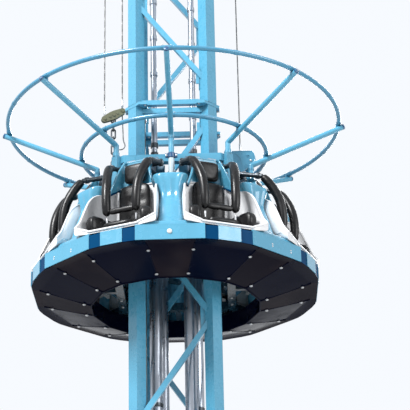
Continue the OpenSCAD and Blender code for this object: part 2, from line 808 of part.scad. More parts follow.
// sleeve on a threaded stud with a nut above and below the anchor plate
module rope_stud() {
    translate([0, 0, anchor_nut + 2]) cylinder(d = sleeve_d, h = sleeve_h);
    translate([0, 0, -40]) cylinder(d = sleeve_d - 2, h = 44 + anchor_nut);
    translate([0, 0, seat_gap]) cylinder(d = 28, h = anchor_nut, $fn = 6);
    translate([0, 0, -10 - seat_gap - anchor_nut]) cylinder(d = 28, h = anchor_nut, $fn = 6);
}

// children placed at the yoke's middle, turned into its plane
module at_yoke() {
    gondola() translate([-yoke_x, -rope_y, yoke_z]) rotate([0, 0, yoke_turn]) children();
}

module rope_ends() {
    color("silver") {
        at_yoke() for (s = [-1, 1]) translate([s * yoke_arm * cos(yoke_tilt), 0, s * yoke_rise]) rope_eye();
        gondola() for (s = [-1, 1]) translate([rope_right, rope_y + s * rope_gap / 2, anchor_z]) rope_stud();
    }
}

yoke_in = 8;
yoke_t = 7;
yoke_bolt_x = 34;

module yoke_plate() {
    difference() {
        union() {
            for (s = [-1, 1]) translate([s * yoke_arm, 0]) circle(r = 25);
            circle(r = 34);
            polygon([[-yoke_arm, -25], [-20, -34], [20, -34], [yoke_arm, -25], [yoke_arm, 25], [20, 34], [-20, 34], [-yoke_arm, 25]]);
        }
        for (x = [-yoke_arm, 0, yoke_arm]) translate([x, 0]) circle(r = chain_pin_r + fit);
        for (s = [-1, 1]) translate([s * yoke_bolt_x, 0]) circle(r = 5 + fit);
    }
}

module rope_yoke() {
    color("#6a6a4c") at_yoke() rotate([0, -yoke_tilt, 0]) {
        for (s = [-1, 1]) translate([0, s * (yoke_in + yoke_t / 2), 0]) rotate([90, 0, 0])
            linear_extrude(yoke_t, center = true) yoke_plate();
        for (x = [-yoke_arm, 0, yoke_arm]) translate([x, 0, 0]) headed_pin(chain_pin_r, yoke_in + yoke_t);
        for (s = [-1, 1]) translate([s * yoke_bolt_x, 0, 0]) headed_pin(5, yoke_in + yoke_t);
    }
}

// link of round bar, measured between the middles of its bar
module link(length, r) {
    for (s = [-1, 1]) {
        translate([0, 0, s * (length / 2 - r)]) rotate([90, s * 90 - 90, 0])
            rotate_extrude(angle = 180, $fn = 48) translate([r, 0]) circle(d = chain_d, $fn = 24);
        translate([s * r, 0, r - length / 2]) cylinder(d = chain_d, h = length - 2 * r);
    }
}

links = 7;

// links from the yoke's middle pin down to the lugs' pin, each turned a quarter to the next
module yoke_chain() {
    top = yoke_z + shackle_r;
    low = lug_z - shackle_r;
    lap = chain_d + seat_gap;
    length = (top - low + (links - 1) * lap) / links;
    color("dimgray") gondola() translate([-yoke_x, -rope_y, 0]) {
        for (k = [0:links - 1]) translate([0, 0, low + length / 2 + k * (length - lap)])
            rotate([0, 0, 90 * (k % 2) + yoke_turn * k / (links - 1)]) link(length, chain_d + 2);
        translate([0, 0, lug_z]) headed_pin(chain_pin_r, lug_in + lug_t);
    }
}

base_frame();
levelling_feet();
tower_legs();
tower_side(0);  // side_front
tower_side(90);  // side_right
tower_side(180);  // side_back
tower_side(270);  // side_left
head_frame();
head_sheaves();
head_ropes();
lift_cylinders();
outer_rope();
inner_rope();
right_ropes();
chassis();
guide_rollers();
seat_frame();
fascia_panels();
fascia_strips();
underside();
cowls();
back_panels();
restraint_bearings();
crown_arms();
crown_rings();
rope_brackets();
rope_ends();
rope_yoke();
yoke_chain();
for (i = [1:seats]) {
    seat(i);
    restraint(i);
}
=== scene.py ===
"""Drop tower ride: looks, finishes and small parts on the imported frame."""

import json
from math import atan, atan2, copysign, cos, exp, hypot, pi, radians, sin, sqrt, tan

import bmesh
import bpy
from mathutils import Matrix, Vector

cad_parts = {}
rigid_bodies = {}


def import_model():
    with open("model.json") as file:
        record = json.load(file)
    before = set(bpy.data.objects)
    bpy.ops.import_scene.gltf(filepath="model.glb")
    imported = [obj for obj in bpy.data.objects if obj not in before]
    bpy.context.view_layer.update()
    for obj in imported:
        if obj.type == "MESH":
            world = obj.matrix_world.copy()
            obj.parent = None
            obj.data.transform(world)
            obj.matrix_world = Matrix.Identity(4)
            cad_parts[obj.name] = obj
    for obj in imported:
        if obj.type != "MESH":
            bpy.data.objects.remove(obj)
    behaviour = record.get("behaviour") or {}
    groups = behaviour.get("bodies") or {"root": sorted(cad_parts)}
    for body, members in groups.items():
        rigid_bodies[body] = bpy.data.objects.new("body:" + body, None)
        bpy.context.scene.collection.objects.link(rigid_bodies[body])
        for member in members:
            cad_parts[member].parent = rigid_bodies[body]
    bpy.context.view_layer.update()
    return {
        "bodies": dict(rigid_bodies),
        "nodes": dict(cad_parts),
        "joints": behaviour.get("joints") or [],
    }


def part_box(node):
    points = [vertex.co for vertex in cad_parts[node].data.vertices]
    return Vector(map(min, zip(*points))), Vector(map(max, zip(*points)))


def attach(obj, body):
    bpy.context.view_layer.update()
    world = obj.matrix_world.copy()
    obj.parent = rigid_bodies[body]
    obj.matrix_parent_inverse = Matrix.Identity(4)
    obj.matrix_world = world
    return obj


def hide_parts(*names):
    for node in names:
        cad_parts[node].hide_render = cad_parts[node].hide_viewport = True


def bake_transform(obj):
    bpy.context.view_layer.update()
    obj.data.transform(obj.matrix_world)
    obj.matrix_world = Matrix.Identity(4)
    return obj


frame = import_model()
NODES = frame["nodes"]
JOINTS = {joint["name"]: joint for joint in frame["joints"]}


def span(node, axis):
    """Where a node begins and ends along x, y or z, to a tenth of a millimetre."""
    return [round(getattr(corner, axis), 4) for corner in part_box(node)]


# Driving sizes in metres, with heights from the floor

SEATS = sum(name.startswith("restraint_") for name in frame["bodies"])
STEP = 360 / SEATS
ANGLES = [k * STEP for k in range(SEATS)]
SEAT_ANGLES = [(k + 0.5) * STEP for k in range(SEATS)]
RIM_Z = span("fascia_panels", "z")[0]
RIM_R = 1.1
RIM_HALF = 13
RIM_SHORT = (18, 27)
POST_R = 0.6
LEG = sum(span("side_right", "x")) / 2
LEGS_Z, LEGS_TOP = span("tower_legs", "z")
BEAM_TOP = LEGS_Z - 0.016
FOOT_REACH = span("levelling_feet", "x")[1] - 0.1
FLANGES_Z = [0.686 + 3.48 * k for k in range(3)]
SHEAVE_Z = JOINTS["gondola_lift"]["deforming_nodes"][0]["fixed_end_z_m"]
CYLINDER = (0.150, 0.065)
BARREL_R = 0.0476

# Sizes with heights from the rim

CHASSIS_TOP = round(span("chassis", "z")[1] - RIM_Z, 4)
OUTER_RING = (1.300, 1.400)
INNER_RING = (0.723, 1.151)
RING_R = 0.017
ARM_R = 0.021
HINGE = JOINTS["restraint_1_hinge"]["pos_m"]
PIVOT = (round(hypot(HINGE[0], HINGE[1]), 4), round(HINGE[2] - RIM_Z, 4))

WORLD = Matrix()
OUT = Vector((1, 0, 0))
UP = Vector((0, 0, 1))
RIM = Matrix.Translation(RIM_Z * UP)
SIDES = (-1, 1)
QUADRANTS = [(sx, sy) for sx in SIDES for sy in SIDES]
PROUD = 0.0002


# Geometry helpers


def on_ray(angle, z=RIM_Z):
    """Local x points outward along the ray, y along the rim, z up from the rim."""
    return Matrix.Translation((0, 0, z)) @ Matrix.Rotation(radians(angle - 90), 4, "Z")


def facing(at, axis, place=WORLD):
    """Origin at a point and z along an axis, both given in the frame of place."""
    direction = (place.to_3x3() @ Vector(axis)).normalized()
    return Matrix.Translation(place @ Vector(at)) @ direction.to_track_quat("Z", "Y").to_matrix().to_4x4()


def polar(angle, r, z=0.0):
    t = radians(angle)
    return Vector((r * cos(t), r * sin(t), z))


def circle(r, sides, z=0.0):
    return [polar(360 * i / sides, r, z) for i in range(sides)]


def clamp(value):
    return max(0.0, min(1.0, value))


def squared(value, power):
    """Power of a sine or cosine that keeps its sign; a power under one squares the circle off."""
    return copysign(abs(value) ** power, value)


def smooth_curve(points, steps):
    """Catmull-Rom points through the given ones."""
    pts = [Vector(p) for p in points]
    ends = [2 * pts[0] - pts[1]] + pts + [2 * pts[-1] - pts[-2]]
    out = []
    for i in range(1, len(ends) - 2):
        a, b, c, d = ends[i - 1 : i + 3]
        for k in range(steps):
            t = k / steps
            square = (2 * a - 5 * b + 4 * c - d) * t * t
            cube = (3 * b - a - 3 * c + d) * t ** 3
            out.append(0.5 * (2 * b + (c - a) * t + square + cube))
    return out + [pts[-1]]


def smooth_line(points, steps=3):
    """The same for pairs."""
    return [(p[0], p[1]) for p in smooth_curve([(a, b, 0) for a, b in points], steps)]


class Shape:
    """Collects faces in local metres and turns them into one object."""

    def __init__(self):
        self.verts = []
        self.faces = []

    def add(self, verts, faces, place=WORLD):
        start = len(self.verts)
        self.verts += [place @ Vector(v) for v in verts]
        self.faces += [[start + i for i in f] for f in faces]

    def rings(self, rings, place=WORLD, closed=False):
        """Skins a row of equal rings, either closed to a loop or with a cap on both ends."""
        n = len(rings[0])
        m = len(rings)
        faces = []
        for k in range(m if closed else m - 1):
            a, b = k * n, (k + 1) % m * n
            faces += [[a + i, a + (i + 1) % n, b + (i + 1) % n, b + i] for i in range(n)]
        if not closed:
            faces += [list(range(n))[::-1], [(m - 1) * n + i for i in range(n)]]
        self.add([p for ring in rings for p in ring], faces, place)

    def tube(self, points, radius, sides=12, place=WORLD, closed=False):
        """Round bar; its radius is a number or a function of the share of its points."""
        pts = [Vector(p) for p in points]
        last = len(pts) - 1
        rings = []
        side = None
        for k, p in enumerate(pts):
            before = pts[k - 1] if (k or closed) else p
            after = pts[(k + 1) % len(pts)] if (k < last or closed) else p
            along = (after - before).normalized()
            if side is None:
                side = along.orthogonal().normalized()
            side = (side - side.dot(along) * along).normalized()
            up = along.cross(side)
            r = radius(k / last) if callable(radius) else radius
            rings.append([p + spoke.x * side + spoke.y * up for spoke in circle(r, sides)])
        self.rings(rings, place, closed)

    def lathe(self, profile, place=WORLD, sides=24):
        """Revolves (radius, z) pairs about the local z axis."""
        self.rings([circle(max(r, 1e-5), sides, z) for r, z in profile], place)

    def band(self, inner, outer, low, high, place=WORLD, sides=24, slope=0.002):
        """Collar round a bar from low to high, both edges sloping down to the bar."""
        self.lathe([(inner, low), (outer, low + slope), (outer, high - slope), (inner, high)], place, sides)

    def box(self, centre, size, place=WORLD):
        x, y, z = (s / 2 for s in size)
        c = Vector(centre)
        verts = [c + Vector((i * x, j * y, k * z)) for i in SIDES for j in SIDES for k in SIDES]
        faces = [(0, 1, 3, 2), (4, 6, 7, 5), (0, 4, 5, 1), (2, 3, 7, 6), (0, 2, 6, 4), (1, 5, 7, 3)]
        self.add(verts, faces, place)

    def bolt(self, at, axis, size, place=WORLD):
        """Hexagon head on a washer, its seat at the point given."""
        seat = facing(at, axis, place)
        washer = size * 0.16
        top = size * 0.72
        self.lathe([(size * 1.15, 0), (size * 1.15, washer), (size * 0.6, size * 0.17)], seat, 16)
        self.lathe([(size, washer), (size, top), (size * 0.86, top * 1.1), (0, top * 1.12)], seat, 6)

    def dome(self, at, axis, size, place=WORLD):
        """Low round head, its seat at the point given."""
        flange = [(size * 1.25, 0), (size * 1.25, size * 0.12)]
        arc = [(size * cos(t), size * 0.5 * sin(t)) for t in (0, 0.4, 0.8, 1.2)]
        self.lathe(flange + arc + [(0, size * 0.5)], facing(at, axis, place), 16)

    def make(self, name, material, body, slot, replaces=()):
        """One smooth object, its sharp edges split; without a body it stays unattached."""
        mesh = bpy.data.meshes.new(name)
        mesh.from_pydata(self.verts, [], self.faces)
        bm = bmesh.new()
        bm.from_mesh(mesh)
        bmesh.ops.remove_doubles(bm, verts=bm.verts, dist=2e-6)
        bmesh.ops.recalc_face_normals(bm, faces=bm.faces)
        bm.to_mesh(mesh)
        bm.free()
        obj = bpy.data.objects.new(name, mesh)
        bpy.context.scene.collection.objects.link(obj)
        mesh.materials.append(material)
        mesh.shade_smooth()
        obj.modifiers.new("normals", "EDGE_SPLIT").split_angle = radians(38)
        if body:
            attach(obj, body)
        if replaces:
            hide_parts(*replaces)
        return obj


# Materials


class Material:
    """A Principled surface whose colour, roughness and bump come from noise."""

    def __init__(self, name, color, roughness, metallic=0.0, coat=0.0, coat_roughness=0.05, specular=0.5):
        self.mat = bpy.data.materials.new(name)
        self.mat.use_nodes = True
        self.tree = self.mat.node_tree
        self.tree.nodes.clear()
        self.bsdf = self.node("ShaderNodeBsdfPrincipled")
        self.link(self.bsdf.outputs[0], self.node("ShaderNodeOutputMaterial").inputs[0])
        self.put("Base Color", (*color, 1))
        self.put("Roughness", roughness)
        self.put("Metallic", metallic)
        self.put("Coat Weight", coat)
        self.put("Coat Roughness", coat_roughness)
        self.put("Specular IOR Level", specular)
        self.base = (*color, 1)
        self.color = None
        self.normal = None

    def node(self, kind, **settings):
        n = self.tree.nodes.new(kind)
        for key, value in settings.items():
            setattr(n, key, value)
        return n

    def link(self, a, b):
        self.tree.links.new(a, b)

    def put(self, socket, value):
        self.bsdf.inputs[socket].default_value = value

    def coords(self, scale=(1, 1, 1)):
        place = self.node("ShaderNodeMapping")
        place.inputs["Scale"].default_value = scale
        self.link(self.node("ShaderNodeTexCoord").outputs["Object"], place.inputs["Vector"])
        return place.outputs["Vector"]

    def noise(self, scale, detail, rough=0.5, stretch=(1, 1, 1)):
        n = self.node("ShaderNodeTexNoise")
        n.inputs["Scale"].default_value = scale
        n.inputs["Detail"].default_value = detail
        n.inputs["Roughness"].default_value = rough
        self.link(self.coords(stretch), n.inputs["Vector"])
        return n.outputs["Fac"]

    def ramp(self, fac, low, high, to_low, to_high):
        n = self.node("ShaderNodeMapRange")
        for i, v in enumerate((low, high, to_low, to_high)):
            n.inputs[i + 1].default_value = v
        self.link(fac, n.inputs[0])
        return n.outputs[0]

    def tint(self, fac, color):
        """Mixes another colour over what is there, by a mask."""
        mix = self.node("ShaderNodeMix", data_type="RGBA")
        self.link(fac, mix.inputs[0])
        if self.color:
            self.link(self.color, mix.inputs[6])
        else:
            mix.inputs[6].default_value = self.base
        mix.inputs[7].default_value = (*color, 1)
        self.color = mix.outputs[2]
        self.link(self.color, self.bsdf.inputs["Base Color"])

    def bump(self, height, strength, distance):
        n = self.node("ShaderNodeBump")
        n.inputs["Strength"].default_value = strength
        n.inputs["Distance"].default_value = distance
        self.link(height, n.inputs["Height"])
        if self.normal:
            self.link(self.normal, n.inputs["Normal"])
        self.normal = n.outputs[0]
        self.link(self.normal, self.bsdf.inputs["Normal"])

    def patches(self, color, scale, low, high, share=1.0, detail=4, rough=0.5, stretch=(1, 1, 1)):
        """Mixes a colour in, up to a share of it, as noise goes from low to high."""
        self.tint(self.ramp(self.noise(scale, detail, rough, stretch), low, high, 0, share), color)

    def gloss(self, scale, least, most, high=0.7):
        """Roughness between two values, by noise."""
        self.link(self.ramp(self.noise(scale, 4), 0.3, high, least, most), self.bsdf.inputs["Roughness"])

    def grain(self, scale, strength, distance, detail=2, stretch=(1, 1, 1)):
        self.bump(self.noise(scale, detail, stretch=stretch), strength, distance)

    def grime_and_shade(self, color, low, high, distance=0.04):
        """Dirt and painted shade that gather in corners, where the occlusion is deep, broken up by noise."""
        corners = self.node("ShaderNodeAmbientOcclusion", samples=4)
        corners.inputs["Distance"].default_value = distance
        mask = self.node("ShaderNodeMath", operation="MULTIPLY")
        self.link(self.ramp(corners.outputs["AO"], low, high, 1, 0), mask.inputs[0])
        self.link(self.ramp(self.noise(14, 4), 0.3, 0.7, 0.25, 1), mask.inputs[1])
        self.tint(mask.outputs[0], color)

    def shade(self, color, low, high):
        """A colour below the height low that fades out up to high, in the object's own frame."""
        split = self.node("ShaderNodeSeparateXYZ")
        self.link(self.coords(), split.inputs[0])
        self.tint(self.ramp(split.outputs["Z"], low, high, 1.0, 0.0), color)


SKY = (0.088, 0.355, 0.53)
# Colour of the soiling and painted shade in the corners of machine paint
DUST_AND_SHADE = (0.035, 0.06, 0.075)
BARE_METAL = (0.16, 0.13, 0.11)
DEEP_SHADE = (0.006, 0.026, 0.042)


def scaled(color, factor, lift=0.0):
    """A colour made darker or lighter."""
    return tuple(min(1, c * factor + lift) for c in color)


def painted(name, color, gloss=0.25, dirt_and_shade=True, shade=None):
    """Machine paint with faint runs, with chips and with soiling and painted shade in its corners if asked;
    shade gives the two heights that a shadow fades between.
    """
    m = Material(name, color, gloss, coat=0.55, coat_roughness=0.12)
    m.patches(scaled(color, 1.35, 0.02), 3.1, 0.35, 0.8, 0.3)
    m.patches(scaled(color, 0.62), 1.3, 0.5, 0.85, 0.35, detail=3, stretch=(1, 1, 0.15))
    m.gloss(23, gloss * 0.8, gloss * 1.5)
    m.grain(310, 0.25, 0.0004)
    m.grain(26, 0.18, 0.0012)
    if dirt_and_shade:
        m.patches(BARE_METAL, 95, 0.735, 0.75, detail=5, rough=0.7)
        # soiling and painted shade, darker where corners are occluded
        m.grime_and_shade(DUST_AND_SHADE, 0.2, 0.85)
    if shade:
        m.shade(DEEP_SHADE, *shade)
    return m.mat


def gelcoat(name, color, roughness=0.16, dirt_and_shade=0.25):
    """Moulded shell under a clear coat, slightly uneven, darkened in its corners by soiling and painted
    shade.
    """
    m = Material(name, color, roughness, coat=0.6)
    m.patches(scaled(color, 1.2, 0.015), 2.2, 0.4, 0.8, 0.3, detail=3)
    m.patches(scaled(color, 0.7), 5, 0.56, 0.85, 0.3, stretch=(1, 1, 0.3))
    m.gloss(17, roughness, roughness * 2.2, high=0.75)
    m.grain(8, 0.2, 0.004)
    m.grain(420, 0.12, 0.0003)
    # soiling and painted shade in corners: a darkened copy of the shell's colour
    m.grime_and_shade(scaled(color, 0.25), dirt_and_shade, 0.8, 0.03)
    return m.mat


def steel(name, color, roughness=0.35):
    m = Material(name, color, roughness, metallic=1.0)
    m.patches(scaled(color, 0.55), 30, 0.4, 0.75, 0.6)
    m.gloss(60, roughness * 0.7, roughness * 1.6)
    m.grain(240, 0.2, 0.0003, detail=3)
    return m.mat


def strands(name, color):
    """Twisted wire rope: slanting stripes along z."""
    m = Material(name, color, 0.45, metallic=0.85)
    wave = m.node("ShaderNodeTexWave", bands_direction="DIAGONAL")
    wave.inputs["Scale"].default_value = 60
    wave.inputs["Distortion"].default_value = 0.4
    m.link(m.coords((1, 1, 0.6)), wave.inputs["Vector"])
    m.bump(wave.outputs["Fac"], 0.7, 0.0015)
    m.tint(m.ramp(wave.outputs["Fac"], 0.1, 0.5, 0.8, 0), scaled(color, 0.25))
    return m.mat


def padding(name):
    """Skin of a moulded foam pad: glossy black with fine grain and soft creases."""
    m = Material(name, (0.0035, 0.0035, 0.0042), 0.3, coat=0.15, coat_roughness=0.2, specular=0.25)
    m.patches((0.012, 0.011, 0.012), 9, 0.45, 0.8, 0.6)
    m.gloss(35, 0.24, 0.46)
    m.grain(900, 0.3, 0.0002)
    m.grain(22, 0.35, 0.0025, detail=3, stretch=(1, 1, 2.4))
    return m.mat


def dull_skin(name, color, dust_and_sheen):
    """Dark sheet that hardly shines, with large patches of a second colour that stand for dust and for
    painted reflections.
    """
    m = Material(name, color, 0.15, specular=0.025)
    m.patches(dust_and_sheen, 1.7, 0.45, 0.72, detail=3)
    m.gloss(6, 0.1, 0.3)
    m.grain(5, 0.3, 0.006)
    return m.mat


def barrels(name):
    """Ground steel tubes with long fine streaks and a few duller patches."""
    m = Material(name, (0.40, 0.43, 0.48), 0.3, metallic=1.0)
    m.patches((0.2, 0.22, 0.25), 40, 0.45, 0.7, 0.7, detail=3, stretch=(1, 1, 0.02))
    m.patches((0.33, 0.35, 0.4), 5, 0.55, 0.75, 0.5, detail=3)
    m.gloss(12, 0.22, 0.44)
    return m.mat


def concrete(name):
    m = Material(name, (0.8, 0.8, 0.79), 0.75, specular=0.2)
    m.patches((0.76, 0.76, 0.755), 0.7, 0.4, 0.7, 0.5)
    return m.mat


sky_paint = painted("sky_paint", SKY)
sky_shell = gelcoat("sky_shell", SKY)
# painted shade: a dark copy of the blue shell for the fascia strips and the shoulder trim, which stand for
# shadows on the shells
shade_blue_skin = dull_skin("shade_blue_skin", (0.003, 0.050, 0.140), (0.004, 0.062, 0.165))
ring_paint = painted("ring_paint", (0.055, 0.26, 0.42))
deep_paint = painted("deep_paint", (0.005, 0.075, 0.20))
# painted shade: near black for the seat frame, which is sky blue but stands in the gondola's dark interior
interior_shade_paint = painted("interior_shade_paint", (0.004, 0.020, 0.036), 0.4)
white_shell = gelcoat("white_shell", (0.86, 0.87, 0.89), 0.2, dirt_and_shade=0.06)
pad_skin = padding("pad_skin")
dark_skin = dull_skin("underside_skin", (0.0012, 0.0024, 0.012), (0.004, 0.005, 0.014))
# painted reflection: the brownish colour that glossy black panels reflect from the ground, on the narrow
# underside panels
ground_sheen_skin = dull_skin("ground_sheen_skin", (0.007, 0.006, 0.012), (0.022, 0.017, 0.021))
pale_sleeve = gelcoat("pale_sleeve", (0.55, 0.66, 0.72), 0.3)
# painted shade: the back panels are light blue shells, darkened because they lie in shade inside the gondola
back_panel_shade = painted("back_panel_shade", (0.02, 0.11, 0.19), 0.35)
hose_skin = painted("hose_skin", (0.045, 0.040, 0.024), 0.5, dirt_and_shade=False)
lens = gelcoat("lens", (0.85, 0.86, 0.84), 0.12)
zinc = steel("zinc", (0.55, 0.56, 0.58))
bright_steel = steel("bright_steel", (0.75, 0.76, 0.78), 0.22)
dark_steel = steel("dark_steel", (0.09, 0.10, 0.11), 0.4)
tube_metal = barrels("cylinder_metal")
rope_wire = strands("rope_wire", (0.20, 0.20, 0.20))
yoke_paint = painted("yoke_paint", (0.15, 0.15, 0.085), 0.4)
casing = painted("casing", (0.30, 0.34, 0.40), 0.35)
rubber = painted("rubber", (0.012, 0.012, 0.013), 0.6, dirt_and_shade=False)
sheave_paint = painted("sheave_paint", (0.035, 0.05, 0.065), 0.45)

FINISH = {
    "base_frame": deep_paint,
    "levelling_feet": zinc,
    "head_sheaves": sheave_paint,
    "head_ropes": rope_wire,
    "lift_cylinders": tube_metal,
    "crown_rings": ring_paint,
    "guide_rollers": rubber,
    "seat_frame": interior_shade_paint,
    # painted shade: dark strips where shadow falls on the fascia
    "fascia_strips": shade_blue_skin,
    "fascia_panels": sky_shell,
    "back_panels": back_panel_shade,
    "restraint_bearings": casing,
    "rope_ends": bright_steel,
    "rope_yoke": yoke_paint,
    "yoke_chain": dark_steel,
}


def finish_nodes():
    """Sky blue paint where FINISH names nothing; the chassis is dark at its foot, where seats shade it."""
    foot = min(corner[2] for corner in NODES["chassis"].bound_box)
    FINISH["chassis"] = painted("chassis_paint", SKY, shade=(foot + 0.3, foot + 0.8))
    for name, obj in NODES.items():
        obj.data.materials.clear()
        obj.data.materials.append(FINISH.get(name, sky_paint))


# Cowls


COWL = [
    # z, front, back, width
    (0.0703, 1.036, 0.860, 0.240),
    (0.115, 1.036, 0.860, 0.240),
    (0.1395, 1.020, 0.855, 0.2232),
    (0.213, 0.976, 0.843, 0.1973),
    (0.3208, 0.940, 0.830, 0.183),
    (0.4286, 0.900, 0.815, 0.176),
    (0.5021, 0.905, 0.800, 0.2027),
    (0.5609, 0.912, 0.780, 0.2458),
    (0.5903, 0.906, 0.772, 0.256),
    (0.605, 0.880, 0.790, 0.2202),
]
RIB_LOW = 0.33
RIB_HIGH = 0.598
RIB_DEPTH = 0.011
RIB_PITCH = 0.3


def cowl_ring(z, front, back, width, n=72):
    """Section of a cowl; three upright ribs stand out on its front between waist and top."""
    depth = RIB_DEPTH * clamp((z - RIB_LOW) / 0.09) * clamp((RIB_HIGH - z) / 0.02)
    ring = []
    for spoke in circle(1, n):
        u = (front + back) / 2 + (front - back) / 2 * squared(spoke.x, 0.8)
        v = width / 2 * squared(spoke.y, 0.55)
        if spoke.x > 0:
            groove = 0.5 - 0.5 * cos(2 * pi * v / (width * RIB_PITCH))
            u -= depth * groove * min(1.0, spoke.x * 3)
        ring.append((u, v, z))
    return ring


def make_cowls():
    rings = [cowl_ring(*level) for level in smooth_curve(COWL, 4)]
    shell = Shape()
    for angle in ANGLES:
        shell.rings(rings, on_ray(angle))
    shell.make("cowl_shells", sky_shell, "gondola", "sky_blue_gelcoat", ["cowls"])


# Seats


SEAT_BACK = 0.668
BUCKET = [
    # distance from the axis, floor, top of the wings, bulge of the wings
    (SEAT_BACK, 0.150, 0.620, 0.008),
    (0.7595, 0.150, 0.548, 0.016),
    (0.8511, 0.154, 0.512, 0.016),
    (0.9148, 0.158, 0.450, 0.014),
    (0.9585, 0.162, 0.355, 0.008),
    (0.9983, 0.162, 0.255, 0.0),
    (1.0381, 0.150, 0.200, 0.0),
    (1.066, 0.132, 0.150, 0.0),
]
FRONT_EDGE = [(1.068, -0.19, 0.139), (1.069, -0.1, 0.138), (1.069, 0.1, 0.138), (1.068, 0.19, 0.139)]
SHELL = 0.012
BACK_SHEET = 0.0192
LIP_R = 0.0085
WING_GAP = 0.098
BUCKET_REACH = 1.088


def bucket_w(u):
    """Half width: the wings keep off the cowls' middle planes, the front stays in a circle."""
    half = radians(STEP / 2)
    return min((u * sin(half) - WING_GAP) / cos(half), sqrt(BUCKET_REACH ** 2 - u * u))


def wing_line(w, pan, floor, top, bulge):
    """A wing from its top down and round the corner to a face of the pan, at the height pan."""
    h = top - floor
    corner = min(0.06, h * 0.45)
    knee = max(corner, h * 0.3)
    return smooth_line([
        (w, top),
        (w + bulge, floor + h * 0.72),
        (w + bulge * 0.75, pan + knee),
        (w, pan + corner * 0.9),
        (w - corner * 0.3, pan + corner * 0.3),
        (w - corner, pan),
    ])


def bucket_ring(u, floor, top, bulge):
    w = bucket_w(u)
    outer = wing_line(w, floor - SHELL, floor, top, bulge)
    inner = wing_line(w - SHELL, floor, floor, top, bulge)
    line = [(-v, z) for v, z in outer] + outer[::-1] + inner + [(-v, z) for v, z in inner[::-1]]
    return [(u, v, z) for v, z in line]


def make_seat_shells():
    """Buckets with a back sheet, a rolled lip all round and two ridges up the back."""
    levels = smooth_curve(BUCKET, 3)
    left = [(u, -(bucket_w(u) - SHELL / 2), top) for u, floor, top, bulge in levels]
    lip = left + FRONT_EDGE + [(u, -v, z) for u, v, z in left[::-1]]
    back, floor, top = BUCKET[0][:3]
    sheet_at = (back - BACK_SHEET / 2, 0, (floor - SHELL + top) / 2)
    sheet = (BACK_SHEET, 2 * bucket_w(0.68), top - floor + SHELL)
    shell = Shape()
    for angle in SEAT_ANGLES:
        place = on_ray(angle)
        shell.rings([bucket_ring(*level) for level in levels], place)
        shell.box(sheet_at, sheet, place)
        shell.tube(lip, LIP_R, 10, place, closed=True)
        for side in SIDES:
            shell.tube([(0.664, side * 0.06, z) for z in (0.20, 0.25, 0.50, 0.55)], 0.007, 8, place)
    names = ["seat_%d" % (i + 1) for i in range(SEATS)]
    shell.make("seat_shells", white_shell, "gondola", "white_gelcoat", names)


def pillow(shape, place, at, size, channels=(), turn=WORLD, crown=0.14, square=0.5, rows=22, n=28):
    """Crowned pad, its length along x before the turn, with channels moulded across it."""
    lx, ly, lz = (s / 2 for s in size)
    rings = []
    for k in range(rows + 1):
        s = -cos(pi * k / rows)
        fall = max(0.04, (1 - s ** 6) ** 0.4)
        dip = sum(exp(-(((s - c) / 0.05) ** 2)) for c in channels)
        ring = []
        for spoke in circle(1, n):
            y = squared(spoke.x, square)
            z = squared(spoke.y, square)
            swell = (1 + crown * (1 - y * y)) * (1 - 0.22 * dip)
            ring.append((lx * s, ly * y * fall ** 0.5, lz * z * fall * swell))
        rings.append(ring)
    shape.rings(rings, place @ Matrix.Translation(at) @ turn)


def make_seat_pads():
    """Seat cushion, back cushion, headrest and two thigh bolsters on each seat."""
    upright = Matrix.Rotation(radians(-90), 4, "Y")
    for i, angle in enumerate(SEAT_ANGLES):
        place = on_ray(angle)
        pads = Shape()
        pillow(pads, place, (0.855, 0, 0.186), (0.34, 0.25, 0.06), (-0.45, 0.1, 0.6))
        pillow(pads, place, (0.702, 0, 0.43), (0.38, 0.25, 0.055), (-0.35, 0.3), upright)
        pillow(pads, place, (0.695, 0, 0.715), (0.15, 0.17, 0.045), (), upright)
        for side in SIDES:
            turn = Matrix.Rotation(radians(side * STEP / 2), 4, "Z")
            pillow(pads, place, (0.885, side * 0.178, 0.232), (0.26, 0.085, 0.13), (0.0,), turn, 0.1, 0.6)
        piece = pads.make("seat_pads_%d" % (i + 1), pad_skin, "gondola", "black_pad")


# Shells behind the shoulders


SHOULDER = [
    # reach, half width, flare, height, slope of the edge
    (0.756, 0.1583, 0.028, 0.6203, 0.77),
    (0.744, 0.1361, 0.014, 0.6835, 0.30),
    (0.722, 0.1251, 0.006, 0.7362, 0.0),
    (0.694, 0.1187, 0.0, 0.7846, 0.0),
    (0.678, 0.1124, 0.0, 0.8141, 0.0),
    (0.672, 0.0981, 0.0, 0.8310, 0.0),
]
SHOULDER_BACK = 0.6608
BACK_PANEL = 0.5443


def shoulder_ring(reach, w, flare, z, slope):
    """Outer line from the left edge round the back to the right edge, and the inner line back."""
    t, b = SHELL, SHOULDER_BACK
    corner = min(0.046, (reach - b) * 0.7)
    d, v = 0.3 * corner, w + flare
    half = [(reach, v), (b - t + corner, w), (b - t + d, w - d), (b - t, w - corner)]
    inside = [(reach, v - t), (b + corner, w - t), (b + d, w - t - d), (b, w - t - corner)]
    outer = smooth_line([(u, -q) for u, q in half] + half[::-1], 2)
    inner = smooth_line(inside + [(u, -q) for u, q in inside[::-1]], 2)
    return [(u, q, z - slope * max(0.0, u - SEAT_BACK)) for u, q in outer + inner]


def middle(ring, i):
    """Midway between the two faces of a shoulder shell."""
    return (Vector(ring[i]) + Vector(ring[len(ring) - 1 - i])) / 2


